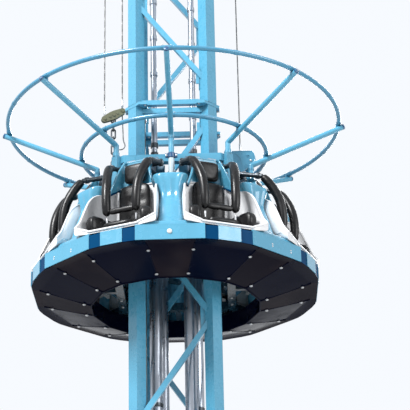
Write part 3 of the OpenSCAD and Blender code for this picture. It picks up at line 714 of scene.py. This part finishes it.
def make_shoulder_shells():
    rings = [shoulder_ring(*level) for level in smooth_curve(SHOULDER, 3)]
    n = len(rings[0]) // 2
    lip = [middle(ring, 0) for ring in rings]
    lip += [middle(rings[-1], i) for i in range(1, n - 1)]
    lip += [middle(ring, n - 1) for ring in rings[::-1]]
    foot = [middle(rings[0], i) - 0.004 * UP for i in range(n)]
    shell, trim, bolts = Shape(), Shape(), Shape()
    for angle in SEAT_ANGLES:
        place = on_ray(angle)
        shell.rings(rings, place)
        shell.tube(lip, LIP_R, 10, place)
        trim.tube(foot, 0.0095, 8, place)
        for v in (-0.135, 0.135):
            for z in (0.12, 0.32, 0.66):
                bolts.dome((BACK_PANEL, v, z), OUT, 0.007, place)
    shell.make("shoulder_shells", sky_shell, "gondola", "sky_blue_gelcoat")
    # painted shade along the foot of each shoulder shell
    trim.make("shoulder_shell_trim", shade_blue_skin, "gondola", "dark_blue_paint")
    bolts.make("back_panel_bolts", zinc, "gondola", "zinc")


# Restraints


PAD_LINE = [
    (0.797, 0.162, 0.752),
    (0.845, 0.151, 0.692),
    (0.886, 0.139, 0.620),
    (0.915, 0.128, 0.545),
    (0.930, 0.123, 0.470),
    (0.935, 0.120, 0.385),
    (0.927, 0.117, 0.302),
]
PAD_R = 0.0325
DRUM = [(0.0, -0.0158), (0.026, -0.0158), (0.029, -0.012), (0.029, 0.010), (0.026, 0.0145), (0.0, 0.0148)]
HANDLE = (0.206, 0.036, 0.04)


def pad_radius(t):
    """Round ends, a band near each of them and a slight belly between."""
    end = (1 - abs(2 * t - 1) ** 18) ** 0.5
    band = sum(exp(-(((t - at) / 0.012) ** 2)) for at in (0.09, 0.92))
    return max(0.012, PAD_R * end + 0.0015 * sin(pi * t) - 0.0022 * band)


def add_arm(side, place, pads, arms, trim):
    """One side of a restraint: hinge drum, straight arm, padded tube with its seam, and tongue."""
    line = smooth_curve([(u, side * v, z) for u, v, z in PAD_LINE], 6)
    pads.tube(line, pad_radius, 22, place)
    pads.tube([p - Vector((0, side * (PAD_R + 0.001), 0)) for p in line[4:-3]], 0.0016, 6, place)
    neck = line[0]
    hub = Vector((PIVOT[0], neck.y, PIVOT[1]))
    outward = (0, side, 0)
    arms.tube([hub, hub.lerp(neck, 0.5), neck], 0.018, 16, place)
    collar = facing(hub.lerp(neck, 0.82), neck - hub, place)
    arms.band(0.019, 0.0245, -0.016, 0.016, collar, slope=0.003)
    arms.lathe(DRUM, facing(hub, outward, place))
    trim.bolt(hub + Vector((0, side * 0.0145, 0)), outward, 0.010, place)
    for spoke in circle(0.0205, 5):
        trim.dome(hub + Vector((spoke.x, side * 0.0143, spoke.y)), outward, 0.0028, place)
    tongue = Vector((0.927, side * 0.117, 0.258))
    trim.tube([tongue + 0.022 * UP, tongue, tongue - Vector((0.004, 0, 0.022))], LIP_R, 10, place)


def make_restraint(i):
    body = "restraint_%d" % i
    place = on_ray(SEAT_ANGLES[i - 1])
    pads, arms, trim = Shape(), Shape(), Shape()
    for side in SIDES:
        add_arm(side, place, pads, arms, trim)
    shaft = [(PIVOT[0], v, PIVOT[1]) for v in (-0.176, -0.06, 0.06, 0.176)]
    arms.tube(shaft, 0.0199, 24, place)
    across = Matrix.Rotation(radians(90), 4, "Z")
    pillow(pads, place, (0.927, 0, 0.328), HANDLE, (0.0,), across, 0.08, 0.7)
    piece = pads.make("restraint_pads_%d" % i, pad_skin, body, "black_pad", [body])
    arms.make("restraint_steel_%d" % i, dark_steel, body, "black_pad")
    trim.make("restraint_fittings_%d" % i, zinc, body, "zinc")


RAM_FOOT = 0.5568
RAM = [
    (0.012, 0), (0.024, 0.004), (0.024, 0.15), (0.027, 0.155), (0.027, 0.175), (0.013, 0.18), (0.013, 0.2102),
]


def make_bearings():
    """Lock rams below the hinge bearings, and the bearings' bolts."""
    rams, bolts = Shape(), Shape()
    for angle in SEAT_ANGLES:
        place = on_ray(angle)
        for side in SIDES:
            v = side * 0.065
            rams.lathe(RAM, facing((PIVOT[0] - 0.008, v, RAM_FOOT), UP, place))
            for dv in (-0.022, 0.022):
                for dz in (-0.028, 0.029):
                    bolts.bolt((PIVOT[0] + 0.0343, v + dv, PIVOT[1] + dz), OUT, 0.0075, place)
            bolts.bolt((PIVOT[0], v, PIVOT[1] + 0.0452), UP, 0.009, place)
    rams.make("lock_rams", dark_steel, "gondola", "grey_casing")
    bolts.make("bearing_bolts", zinc, "gondola", "zinc")


# Rim and underside


LIP_GAP = 0.1
PANEL_HALF = RIM_HALF - LIP_GAP
SHORT_PANEL = (RIM_SHORT[0] + LIP_GAP, RIM_SHORT[1] - LIP_GAP)
RIM_FACE = RIM_R * cos(radians(RIM_HALF))
RIM_LIP = 0.0065
LAMP = [
    (0.018, -0.001), (0.018, 0.003), (0.016, 0.005), (0.015, 0.005),
    (0.013, 0.010), (0.007, 0.013), (0, 0.0138),
]


def rim_point(angle, inset, z):
    """A point on the rim's outline, the angle measured from the middle of a long side."""
    corners = [-RIM_HALF, RIM_HALF, *RIM_SHORT, STEP - RIM_HALF]
    turn = (angle + RIM_HALF) % STEP - RIM_HALF
    for a, b in zip(corners, corners[1:]):
        if a <= turn <= b:
            break
    p, q, d = (polar(t, 1).to_2d() for t in (a, b, turn))
    share = p.cross(d) / (p.cross(d) + d.cross(q))
    at = (RIM_R - inset) * p.lerp(q, share)
    full = radians(angle - turn)
    x = at.x * cos(full) - at.y * sin(full)
    y = at.x * sin(full) + at.y * cos(full)
    return Vector((x, y, z))


def ledge_section(angle, share):
    """Section of a ledge, which swells from the ends of a panel, share -1 and 1, to its middle."""
    swell = 1 - abs(share) ** 8
    outline = [
        (0.008, 0.104),
        (0.009, 0.112),
        (0.012, 0.114 + 0.020 * swell),
        (0.016 + 0.003 * swell, 0.115 + 0.033 * swell),
        (0.030 + 0.010 * swell, 0.116 + 0.043 * swell),
        (0.062, 0.116 + 0.045 * swell),
        (0.062, 0.104),
    ]
    return [rim_point(angle + PANEL_HALF * share, inset, z) for inset, z in outline]


def make_rim():
    """Lips, ledges below the cowls, and a lamp or two pairs of bolts on each long panel in turn."""
    lips, lamps, bolts, ledges = Shape(), Shape(), Shape(), Shape()
    place = on_ray(0)
    for k, angle in enumerate(ANGLES):
        for a, b, z in ((-PANEL_HALF, PANEL_HALF, 0.111), (*SHORT_PANEL, 0.101)):
            for level in (z, 0.006):
                edge = [rim_point(angle + a + (b - a) * i / 8, 0.006, level) for i in range(9)]
                lips.tube(edge, RIM_LIP, 10, place)
        ledges.rings([ledge_section(angle, i / 12 - 1) for i in range(25)], place)
        if k % 2 == 0:
            lamps.lathe(LAMP, facing((RIM_FACE, -0.004, 0.06), OUT, on_ray(angle)))
            continue
        for v in (-0.14, 0.05):
            for z in (0.040, 0.058):
                bolts.dome((RIM_FACE, v if k > 4 else -v, z), OUT, 0.0055, on_ray(angle))
    lips.make("rim_lips", sky_shell, "gondola", "sky_blue_gelcoat")
    ledges.make("rim_ledges", sky_shell, "gondola", "sky_blue_gelcoat")
    lamps.make("rim_lamps", lens, "gondola", "white_gelcoat")
    bolts.make("rim_bolts", zinc, "gondola", "zinc")


SEAM = 9.5
HOLE, HOLE_Z = 0.643, -0.113
BEND, BEND_Z = 1.03, -0.0075
SHEET = 0.0055
STUD = [(0.013, 0), (0.013, 0.004), (0.009, 0.008), (0, 0.009)]


def panel_sections(start, end, steps):
    """Sections of an underside panel, each out along its lower face and back along its upper."""

    def across(r, z):
        return [polar(start, r, z).lerp(polar(end, r, z), i / steps) for i in range(steps + 1)]

    gap = 0.12
    marks = [start + gap + (end - start - 2 * gap) * i / steps for i in range(steps + 1)]
    inner, bend = across(HOLE, HOLE_Z), across(BEND, BEND_Z)
    rows = [inner]
    for t in (0.08, 0.3, 0.55, 0.8, 0.95):
        sag = 0.006 * sin(pi * t) * UP
        rows.append([p.lerp(q, t) - sag for p, q in zip(inner, bend)])
    rows += [bend, [rim_point(mark, 0.004, -0.0068) for mark in marks]]
    top = [[p + SHEET * UP for p in row] for row in rows]
    return [[row[i] for row in rows] + [row[i] for row in top[::-1]] for i in range(steps + 1)]


def make_underside():
    """Narrow panels below the cowls, wide ones between, ridges, studs and a skirt at the hole; the narrow
    panels carry a painted brownish reflection of the ground.
    """
    narrow, wide, seams, studs = Shape(), Shape(), Shape(), Shape()
    place = on_ray(0)
    starts = [angle + side * SEAM for angle in ANGLES for side in SIDES]
    for k, start in enumerate(starts):
        if k % 2 == 0:
            narrow.rings(panel_sections(start, start + 2 * SEAM, 4), place)
        else:
            wide.rings(panel_sections(start, start + STEP - 2 * SEAM, 6), place)
        foot, edge = polar(start, HOLE, HOLE_Z), polar(start, BEND, BEND_Z)
        ridge = [foot.lerp(edge, t) - 0.002 * UP for t in (0, 0.25, 0.5, 0.75, 1)]
        seams.tube(ridge, 0.0055, 8, place)
        for t in (0.13, 0.83):
            studs.lathe(STUD, facing(ridge[0].lerp(ridge[-1], t) - 0.005 * UP, -UP, place), 16)
    seams.tube([polar(start, HOLE, HOLE_Z) for start in starts], 0.007, 10, place, closed=True)
    skirt_top = 0.014
    skirt = [(0.992, HOLE_Z), (0.992, skirt_top), (1.002, skirt_top), (1.002, HOLE_Z)]
    skirt_rings = [[polar(start, HOLE * share, z) for start in starts] for share, z in skirt]
    seams.rings(skirt_rings, place, closed=True)
    narrow.make("underside_panels_narrow", ground_sheen_skin, "gondola", "dark_gloss", ["underside"])
    wide.make("underside_panels_wide", dark_skin, "gondola", "dark_gloss", ["underside"])
    seams.make("underside_seams", dark_skin, "gondola", "dark_gloss")
    studs.make("underside_studs", zinc, "gondola", "zinc")


# Crown, posts and brackets


ARM_SLOPE = (OUTER_RING[1] - INNER_RING[1]) / (OUTER_RING[0] - INNER_RING[0])
ARM_LEAN = atan(ARM_SLOPE)
ARM_DROP = (ARM_R + RING_R + 0.0003) / cos(ARM_LEAN)
SLEEVE_R = ARM_R + PROUD


def arm_z(r):
    """Height of a crown arm's axis at a distance from the tower's axis."""
    return INNER_RING[1] - ARM_DROP + (r - INNER_RING[0]) * ARM_SLOPE


def ring_collar(shape, ring, angle, spread, r):
    """Thicker stretch of a crown ring, some degrees long."""
    turns = [angle - 90 + spread * (i / 6 - 0.5) for i in range(7)]
    shape.tube([polar(turn, ring[0], RIM_Z + ring[1]) for turn in turns], r, 16)


def add_arm_fittings(place, angle, paint, bolts, bands):
    """Clamps where an arm meets the rings, joints of the rings between arms, and the arm's cap."""
    for ring, clamp_spread, joint_spread in ((OUTER_RING, 3.2, 1.2), (INNER_RING, 5.4, 2.0)):
        ring_collar(paint, ring, angle, clamp_spread, RING_R + 0.0025)
        ring_collar(paint, ring, angle + STEP / 2, joint_spread, RING_R + 0.0018)
        paint.box((ring[0], 0, ring[1] - ARM_DROP / 2 - 0.006), (0.052, 0.014, 0.040), place)
        for side in SIDES:
            bolts.bolt((ring[0], side * 0.030, ring[1] + 0.0185), UP, 0.0075, place)
    tip = 1.342
    cap = facing((tip, 0, arm_z(tip)), (cos(ARM_LEAN), 0, sin(ARM_LEAN)), place)
    bands.lathe([(0.0218, -0.014), (0.0218, -0.002), (0.017, 0.002), (0, 0.0028)], cap)


def add_post_fittings(place, paint, bolts, bands, sleeves):
    """Foot flange, pale sleeve, dark band with its bolted lugs, and a ring below the arm."""
    foot = facing((POST_R, 0, 0), UP, place)
    flange = [(SLEEVE_R, 0.0705), (0.034, 0.0705), (0.034, 0.078), (0.026, 0.086), (SLEEVE_R, 0.092)]
    paint.lathe(flange, foot)
    sleeves.band(SLEEVE_R, 0.0228, 0.600, 0.852, foot)
    bands.band(SLEEVE_R, 0.0280, 0.853, 0.895, foot)
    for side in SIDES:
        bands.box((POST_R, side * 0.036, 0.874), (0.012, 0.018, 0.034), place)
        bolts.bolt((POST_R + 0.007, side * 0.037, 0.874), OUT, 0.0075, place)
    elbow = arm_z(POST_R)
    paint.band(SLEEVE_R, 0.0235, elbow - 0.045, elbow - 0.028, foot)


def make_crown():
    paint, bolts, bands, sleeves = Shape(), Shape(), Shape(), Shape()
    for k, angle in enumerate(ANGLES):
        place = on_ray(angle)
        add_arm_fittings(place, angle, paint, bolts, bands)
        if k % 2 == 0:
            add_post_fittings(place, paint, bolts, bands, sleeves)
    paint.make("crown_clamps", ring_paint, "gondola", "sky_blue_paint")
    bolts.make("crown_bolts", zinc, "gondola", "zinc")
    bands.make("crown_bands", deep_paint, "gondola", "dark_blue_paint")
    sleeves.make("post_sleeves", pale_sleeve, "gondola", "white_gelcoat")


ROLLER_LEVELS = (0.16, 0.80)
AXLE = 0.48865
CHEEK = 0.04
CHASSIS_BEAM = 0.422
AXLE_END = [(0.0, 0.0), (0.017, 0.0), (0.017, 0.003), (0.010, 0.004), (0.010, 0.012), (0.0, 0.013)]
GREASE_NIPPLE = [(0.02, -0.006), (0.02, 0.012), (0.016, 0.014), (0.014, 0.03), (0.008, 0.036), (0, 0.037)]


def make_chassis_parts():
    """Axle ends, bolts and welds, and two grease nipples under the front edge."""
    welds, bolts = Shape(), Shape()
    for k in range(4):
        place = on_ray(45 + 90 * k)
        for z in ROLLER_LEVELS:
            for side in SIDES:
                bolts.lathe(AXLE_END, facing((AXLE, side * (CHEEK + PROUD), z), (0, side, 0), place))
                for dz in (-0.032, 0.032):
                    bolts.bolt((0.555, side * (CHEEK + PROUD / 2), z + dz), (0, side, 0), 0.007, place)
        for z in (0.0815, 0.8985):
            welds.tube([place @ Vector((0.5592, v, z)) for v in (-0.030, 0, 0.030)], 0.005, 8)
        for side in SIDES:
            bolts.bolt((0.570, side * 0.022, CHASSIS_TOP + PROUD), UP, 0.006, place)
    for k in range(4):
        place = on_ray(90 * k)
        for v in (-0.30, -0.16, 0.16, 0.30):
            bolts.bolt((CHASSIS_BEAM, v, CHASSIS_TOP + PROUD), UP, 0.009, place)
            bolts.bolt((CHASSIS_BEAM, v, 0.02 - PROUD), -UP, 0.009, place)
    for x in (-0.022, 0.052):
        bolts.lathe(GREASE_NIPPLE, facing((x, -0.4215, 0.012), (0, -0.3, -1), RIM))
    welds.make("chassis_welds", sky_paint, "gondola", "sky_blue_paint")
    bolts.make("chassis_bolts", zinc, "gondola", "zinc")


BRACKET_EDGE = [
    (0.455, 0.965), (0.540, 1.020), (0.627, 1.100), (0.627, 1.158),
    (0.6155, 1.186), (0.588, 1.195), (0.396, 1.195),
]
BRACKET_BOLTS = [(0.412, 0.970), (0.438, 0.970), (0.600, 1.115), (0.430, 1.186)]
ANCHOR_X = 0.52


def make_brackets():
    """Edge beads and bolts of the right bracket, bolts of the left one, and the rope ends' studs."""
    edges, bright, dampers = Shape(), Shape(), Shape()
    for side in SIDES:
        plate = CYLINDER[1] + side * 0.040
        edges.tube([(x, plate, z) for x, z in smooth_line(BRACKET_EDGE)], 0.0055, 8, RIM)
        for x, z in BRACKET_BOLTS:
            bright.bolt((x, plate + side * 0.002, z), (0, side, 0), 0.0075, RIM)
        for z in (0.966, 0.996):
            bright.bolt((-0.474, -CYLINDER[1] + side * 0.020, z), (0, side, 0), 0.0065, RIM)
    for side in SIDES:
        stud = facing((ANCHOR_X, CYLINDER[1] + side * 0.017, 0), UP, RIM)
        dampers.tube([(0, 0, z) for z in (1.152, 1.156, 1.160)], 0.012, 12, stud)
        bright.lathe([(0.005, 1.272), (0.0085, 1.273), (0.0092, 1.262), (0.0085, 1.250)], stud)
    edges.make("bracket_edges", sky_paint, "gondola", "sky_blue_paint")
    bright.make("bracket_bolts", zinc, "gondola", "zinc")
    dampers.make("stud_dampers", dark_steel, "gondola", "rope_steel")


YOKE_PIN = 0.0711
FEELER = [
    (-0.4035, -0.048, 1.515), (-0.398, -0.05, 1.36), (-0.394, -0.056, 1.28), (-0.381, -0.06, 1.236),
    (-0.392, -0.062, 1.206), (-0.420, -0.064, 1.195), (-0.462, -0.065, 1.194),
]


def make_yoke_parts():
    """Thimbles and sleeve rings on the yoke's two rope ends, and the feeler rod beside the chain."""
    rings, dark = Shape(), Shape()
    turn = Matrix.Rotation(atan2(0.034, 0.138), 4, "Z")
    yoke = RIM @ Matrix.Translation((-0.472, -CYLINDER[1], 1.495)) @ turn
    rise = YOKE_PIN * tan(radians(30))
    for side in SIDES:
        eye = yoke @ Matrix.Translation((side * YOKE_PIN, 0, side * rise))
        upright = eye @ Matrix.Rotation(radians(90), 4, "X")
        dark.tube(circle(0.0165, 32), 0.0062, 8, upright, closed=True)
        for z in (0.060, 0.078, 0.096):
            rings.band(0.0080, 0.0087, z, z + 0.010, eye, 20)
    dark.tube(smooth_curve(FEELER, 5), 0.0045, 8, RIM)
    dark.make("yoke_thimbles", dark_steel, "gondola", "rope_steel")
    rings.make("rope_sleeve_rings", bright_steel, "gondola", "rope_steel")


# Tower


CLIPS_Z = (0.65, 4.202, 7.61)
HOSE_X, HOSE_Y = -0.222, -0.150
HOSE_END = [(0.0085, 7.59), (0.012, 7.592), (0.012, 7.612), (0.009, 7.614), (0.009, 7.63), (0.0, 7.632)]


def add_leg_joints(welds, bolts):
    """Bolts and weld beads above and below each flanged joint, and the bolts of the foot plates."""
    for sx, sy in QUADRANTS:
        for z in FLANGES_Z:
            for dx, dy in ((-1, -1), (-1, 1), (1, -1)):
                x, y = sx * (LEG + dx * 0.070), sy * (LEG + dy * 0.070)
                for side in (1, -1):
                    bolts.bolt((x, y, z + side * 0.0121), side * UP, 0.010)
            for side in SIDES:
                centre = Vector((sx * LEG, sy * LEG, z + side * 0.0135))
                ring = [centre + Vector((sx * p.x, sy * p.y, 0)) for p in circle(0.0645, 4)]
                welds.tube(ring, 0.0028, 6, closed=True)
        for dx, dy in QUADRANTS:
            bolts.bolt((sx * LEG + dx * 0.088, sy * LEG + dy * 0.088, LEGS_Z), UP, 0.014)


def add_lattice_welds(welds):
    """Beads where the zigzag bars meet the legs, on either side in turn."""
    low, mid, top = FLANGES_Z
    sections = [[z + 0.14 + 0.8 * k for k in range(5)] for z in (low, mid)]
    sections.append([top + 0.2 + 0.735 * k for k in range(3)])
    for turn in range(4):
        place = on_ray(90 * turn, 0)
        for rows in sections:
            for k, z in enumerate(rows):
                y = (LEG - 0.0655) * (1 if k % 2 == 0 else -1)
                for face in SIDES:
                    bead = [(LEG + face * 0.0055, y, z + dz) for dz in (-0.055, 0, 0.055)]
                    welds.tube(bead, 0.0036, 6, place)


def make_tower_parts():
    welds, bolts, hoses = Shape(), Shape(), Shape()
    add_leg_joints(welds, bolts)
    add_lattice_welds(welds)
    for z in CLIPS_Z:
        welds.box((HOSE_X - 0.0125, HOSE_Y, z), (0.053, 0.084, 0.030))
        for dy in (-0.034, 0.034):
            bolts.bolt((HOSE_X + 0.014, HOSE_Y + dy, z), OUT, 0.005)
    run = [LEGS_Z + 0.001] + [0.7 + 0.62 * i for i in range(11)] + [7.600]
    for j, dy in enumerate((-0.026, 0.0, 0.026)):
        hoses.tube([(HOSE_X, HOSE_Y + dy, z) for z in run], 0.0085 - 0.001 * j, 12)
        bolts.lathe(HOSE_END, Matrix.Translation((HOSE_X, HOSE_Y + dy, 0)), 12)
    welds.make("tower_welds", sky_paint, "tower", "sky_blue_paint")
    bolts.make("tower_bolts", zinc, "tower", "zinc")
    hoses.make("tower_hoses", hose_skin, "tower", "black_pad")


def make_base_parts():
    """Stiffeners and bolts on the beams, and the threads and bolts of the levelling feet."""
    stiffeners, bolts = Shape(), Shape()
    for turn in range(4):
        place = on_ray(90 * turn, 0)
        for along in (-1.16, -0.75, -0.45, 0.45, 0.75, 1.16):
            for face in SIDES:
                stiffeners.box((LEG + face * 0.041, along, 0.13), (0.072, 0.008, 0.134), place)
        for side in SIDES:
            for face in SIDES:
                bolts.bolt((LEG + face * 0.05, side * FOOT_REACH * 0.985, BEAM_TOP), UP, 0.010, place)
    feet = [(sx * FOOT_REACH, sy * LEG, 0) for sx, sy in QUADRANTS]
    feet += [(sx * LEG, sy * FOOT_REACH, 0) for sx, sy in QUADRANTS]
    for foot in feet:
        for row in range(9):
            z = 0.232 + 0.0042 * row
            thread = [(0.0180, z), (0.0190, z + 0.0014), (0.0180, z + 0.0028)]
            bolts.lathe(thread, Matrix.Translation(foot), 20)
        for spot in circle(0.075, 6, 0.012):
            bolts.dome(spot + Vector(foot), UP, 0.007)
    stiffeners.make("beam_stiffeners", deep_paint, "tower", "dark_blue_paint")
    bolts.make("base_bolts", zinc, "tower", "zinc")


SHEAVES = [
    # row across the head, radius, left or right
    (-0.082, 0.1955, -1),
    (-0.048, 0.1265, -1),
    (0.048, 0.185, 1),
    (0.082, 0.185, 1),
]


def make_head_parts():
    """Bolts of the head frame and the hollows of the cast sheaves."""
    bolts, hollows = Shape(), Shape()
    for sx, sy in QUADRANTS:
        for dx, dy in ((-0.05, -0.05), (0.05, -0.05), (-0.05, 0.05)):
            bolts.bolt((sx * (LEG + dx), sy * (LEG + dy + 0.02), LEGS_TOP + 0.0121), UP, 0.011)
    for y, r, side in SHEAVES:
        hub = Vector((side * (CYLINDER[0] + r), y, SHEAVE_Z))
        hollow = [(0.2 * r, 0), (0.2 * r, 0.0022), (0.17 * r, 0.003), (0.165 * r, 0.0004), (0, 0.0002)]
        for spoke in circle(0.62 * r, 5):
            for face in SIDES:
                at = hub + Vector((spoke.x, face * 0.0052, spoke.y))
                hollows.lathe(hollow, facing(at, (0, face, 0)), 20)
    for x in (-0.44, -0.20, 0.10, 0.24):
        for side in SIDES:
            bolts.bolt((-side * x, side * 0.111, LEGS_TOP + 0.06), (0, side, 0), 0.010)
    bolts.make("head_bolts", zinc, "tower", "zinc")
    hollows.make("sheave_hollows", dark_steel, "tower", "sheave_iron")


CYLINDER_TOP = 0.42
CYLINDER_CAP = [
    (BARREL_R, -0.05), (0.053, -0.048), (0.053, -0.006), (0.046, 0.002),
    (0.02, 0.004), (0.02, 0.02), (0, 0.021),
]


def make_cylinder_parts():
    """Glands and clamps of the lifting cylinders, and caps of the lower barrels beside them."""
    bright, dark = Shape(), Shape()
    for side in (1, -1):
        at = Vector((-CYLINDER[0] * side, -CYLINDER[1] * side, 0))
        barrel = Matrix.Translation(at)
        top = RIM_Z + CYLINDER_TOP
        bright.band(BARREL_R, 0.054, top - 0.09, top - 0.043, barrel, 40)
        bright.band(BARREL_R, 0.052, top - 0.02, top, barrel, 40)
        for spoke in circle(0.0535, 8):
            dark.dome(at + spoke + (top - 0.0665) * UP, spoke, 0.005)
        for z in (0.5, 1.7, 2.9, 4.1, 5.3):
            dark.band(BARREL_R, 0.0505, z - 0.016, z + 0.016, barrel, 40)
        for z in (6.9, 7.34, 7.42):
            dark.band(0.0241, 0.030, z - 0.02, z + 0.02, barrel, 32)
        bright.lathe(CYLINDER_CAP, Matrix.Translation((0.110 * side, -0.125 * side, RIM_Z + 0.22)), 40)
    bright.make("cylinder_glands", bright_steel, "tower", "chrome")
    dark.make("cylinder_clamps", dark_steel, "tower", "chrome")


# Ropes


ROPE_R = 0.005


def rope_rings(low, high, pitch=0.075, sides=18, lobes=6):
    """Sections of a twisted rope of six strands."""
    rows = int((high - low) / 0.011)
    rings = []
    for k in range(rows + 1):
        z = low + (high - low) * k / rows
        turn = 360 * (z - low) / pitch
        ring = []
        for i in range(sides):
            angle = 360 * i / sides
            swell = 0.9 + 0.1 * cos(radians(lobes * (angle - turn)))
            ring.append(polar(angle, ROPE_R * swell, z))
        rings.append(ring)
    return rings


def make_ropes():
    """Strands in the boxes of the hoist ropes; the right node holds two ropes, the others one."""
    for node in ("outer_rope", "inner_rope", "right_ropes"):
        low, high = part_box(node)
        x = (low.x + high.x) / 2
        rope = Shape()
        for y in sorted({round(low.y + ROPE_R, 4), round(high.y - ROPE_R, 4)}):
            rope.rings(rope_rings(low.z, high.z), Matrix.Translation((x, y, 0)))
        obj = rope.make(node + "_strands", rope_wire, None, "rope_steel", [node])
        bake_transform(obj)


# Stage, lights and camera


def make_stage():
    bpy.ops.mesh.primitive_plane_add(size=90, location=(0, 0, -0.001))
    floor = bpy.context.object
    floor.name = "floor"
    floor.data.materials.append(concrete("studio_floor"))


def make_world():
    """A pale sky at full strength in views and reflections, and much weaker as ambient light."""
    world = bpy.data.worlds.new("studio")
    bpy.context.scene.world = world
    world.use_nodes = True
    tree = world.node_tree
    tree.nodes.clear()
    paths = tree.nodes.new("ShaderNodeLightPath")
    seen = paths.outputs["Is Camera Ray"]
    for name in ("Is Glossy Ray", "Is Transmission Ray"):
        most = tree.nodes.new("ShaderNodeMath")
        most.operation = "MAXIMUM"
        tree.links.new(seen, most.inputs[0])
        tree.links.new(paths.outputs[name], most.inputs[1])
        seen = most.outputs[0]
    strength = tree.nodes.new("ShaderNodeMapRange")
    strength.inputs["To Min"].default_value = 0.3
    strength.inputs["To Max"].default_value = 1.0
    tree.links.new(seen, strength.inputs["Value"])
    light = tree.nodes.new("ShaderNodeBackground")
    light.inputs["Color"].default_value = (0.93, 0.96, 1.0, 1)
    tree.links.new(strength.outputs[0], light.inputs["Strength"])
    tree.links.new(light.outputs[0], tree.nodes.new("ShaderNodeOutputWorld").inputs["Surface"])


def area_light(name, at, target, size, power):
    data = bpy.data.lights.new(name, "AREA")
    data.size = size
    data.energy = power
    obj = bpy.data.objects.new(name, data)
    bpy.context.scene.collection.objects.link(obj)
    obj.location = at
    obj.rotation_euler = (Vector(target) - Vector(at)).to_track_quat("-Z", "Y").to_euler()


def make_lights():
    area_light("key", at=(-9, -11, 19), target=(0, 0, 6.5), size=6, power=5400)
    area_light("fill", at=(12, -9, 10), target=(0, 0, 5), size=8, power=1050)
    area_light("rim", at=(3, 13, 14), target=(0, 0, 6), size=7, power=1300)


EYE = (0.404, -12.208, 1.465)
PITCH = 0.4210
HEADING = -0.0139
ROLL = -0.0215


def make_camera():
    """The photograph's camera, fitted to the crown rings, the rim and the legs; angles in radians."""
    data = bpy.data.cameras.new("camera")
    data.sensor_width = 36
    data.lens = 151.85
    camera = bpy.data.objects.new("camera", data)
    bpy.context.scene.collection.objects.link(camera)
    level = cos(PITCH)
    ahead = Vector((sin(HEADING) * level, cos(HEADING) * level, sin(PITCH)))
    turn = ahead.to_track_quat("-Z", "Y").to_matrix().to_4x4()
    camera.matrix_world = Matrix.Translation(EYE) @ turn @ Matrix.Rotation(ROLL, 4, "Z")
    bpy.context.scene.camera = camera


finish_nodes()
make_cowls()
make_seat_shells()
make_seat_pads()
make_shoulder_shells()
for number in range(1, SEATS + 1):
    make_restraint(number)
make_bearings()
make_rim()
make_underside()
make_crown()
make_chassis_parts()
make_brackets()
make_yoke_parts()
make_ropes()
make_tower_parts()
make_base_parts()
make_head_parts()
make_cylinder_parts()
make_stage()
make_world()
make_lights()
make_camera()
bpy.context.scene.view_settings.view_transform = "Standard"
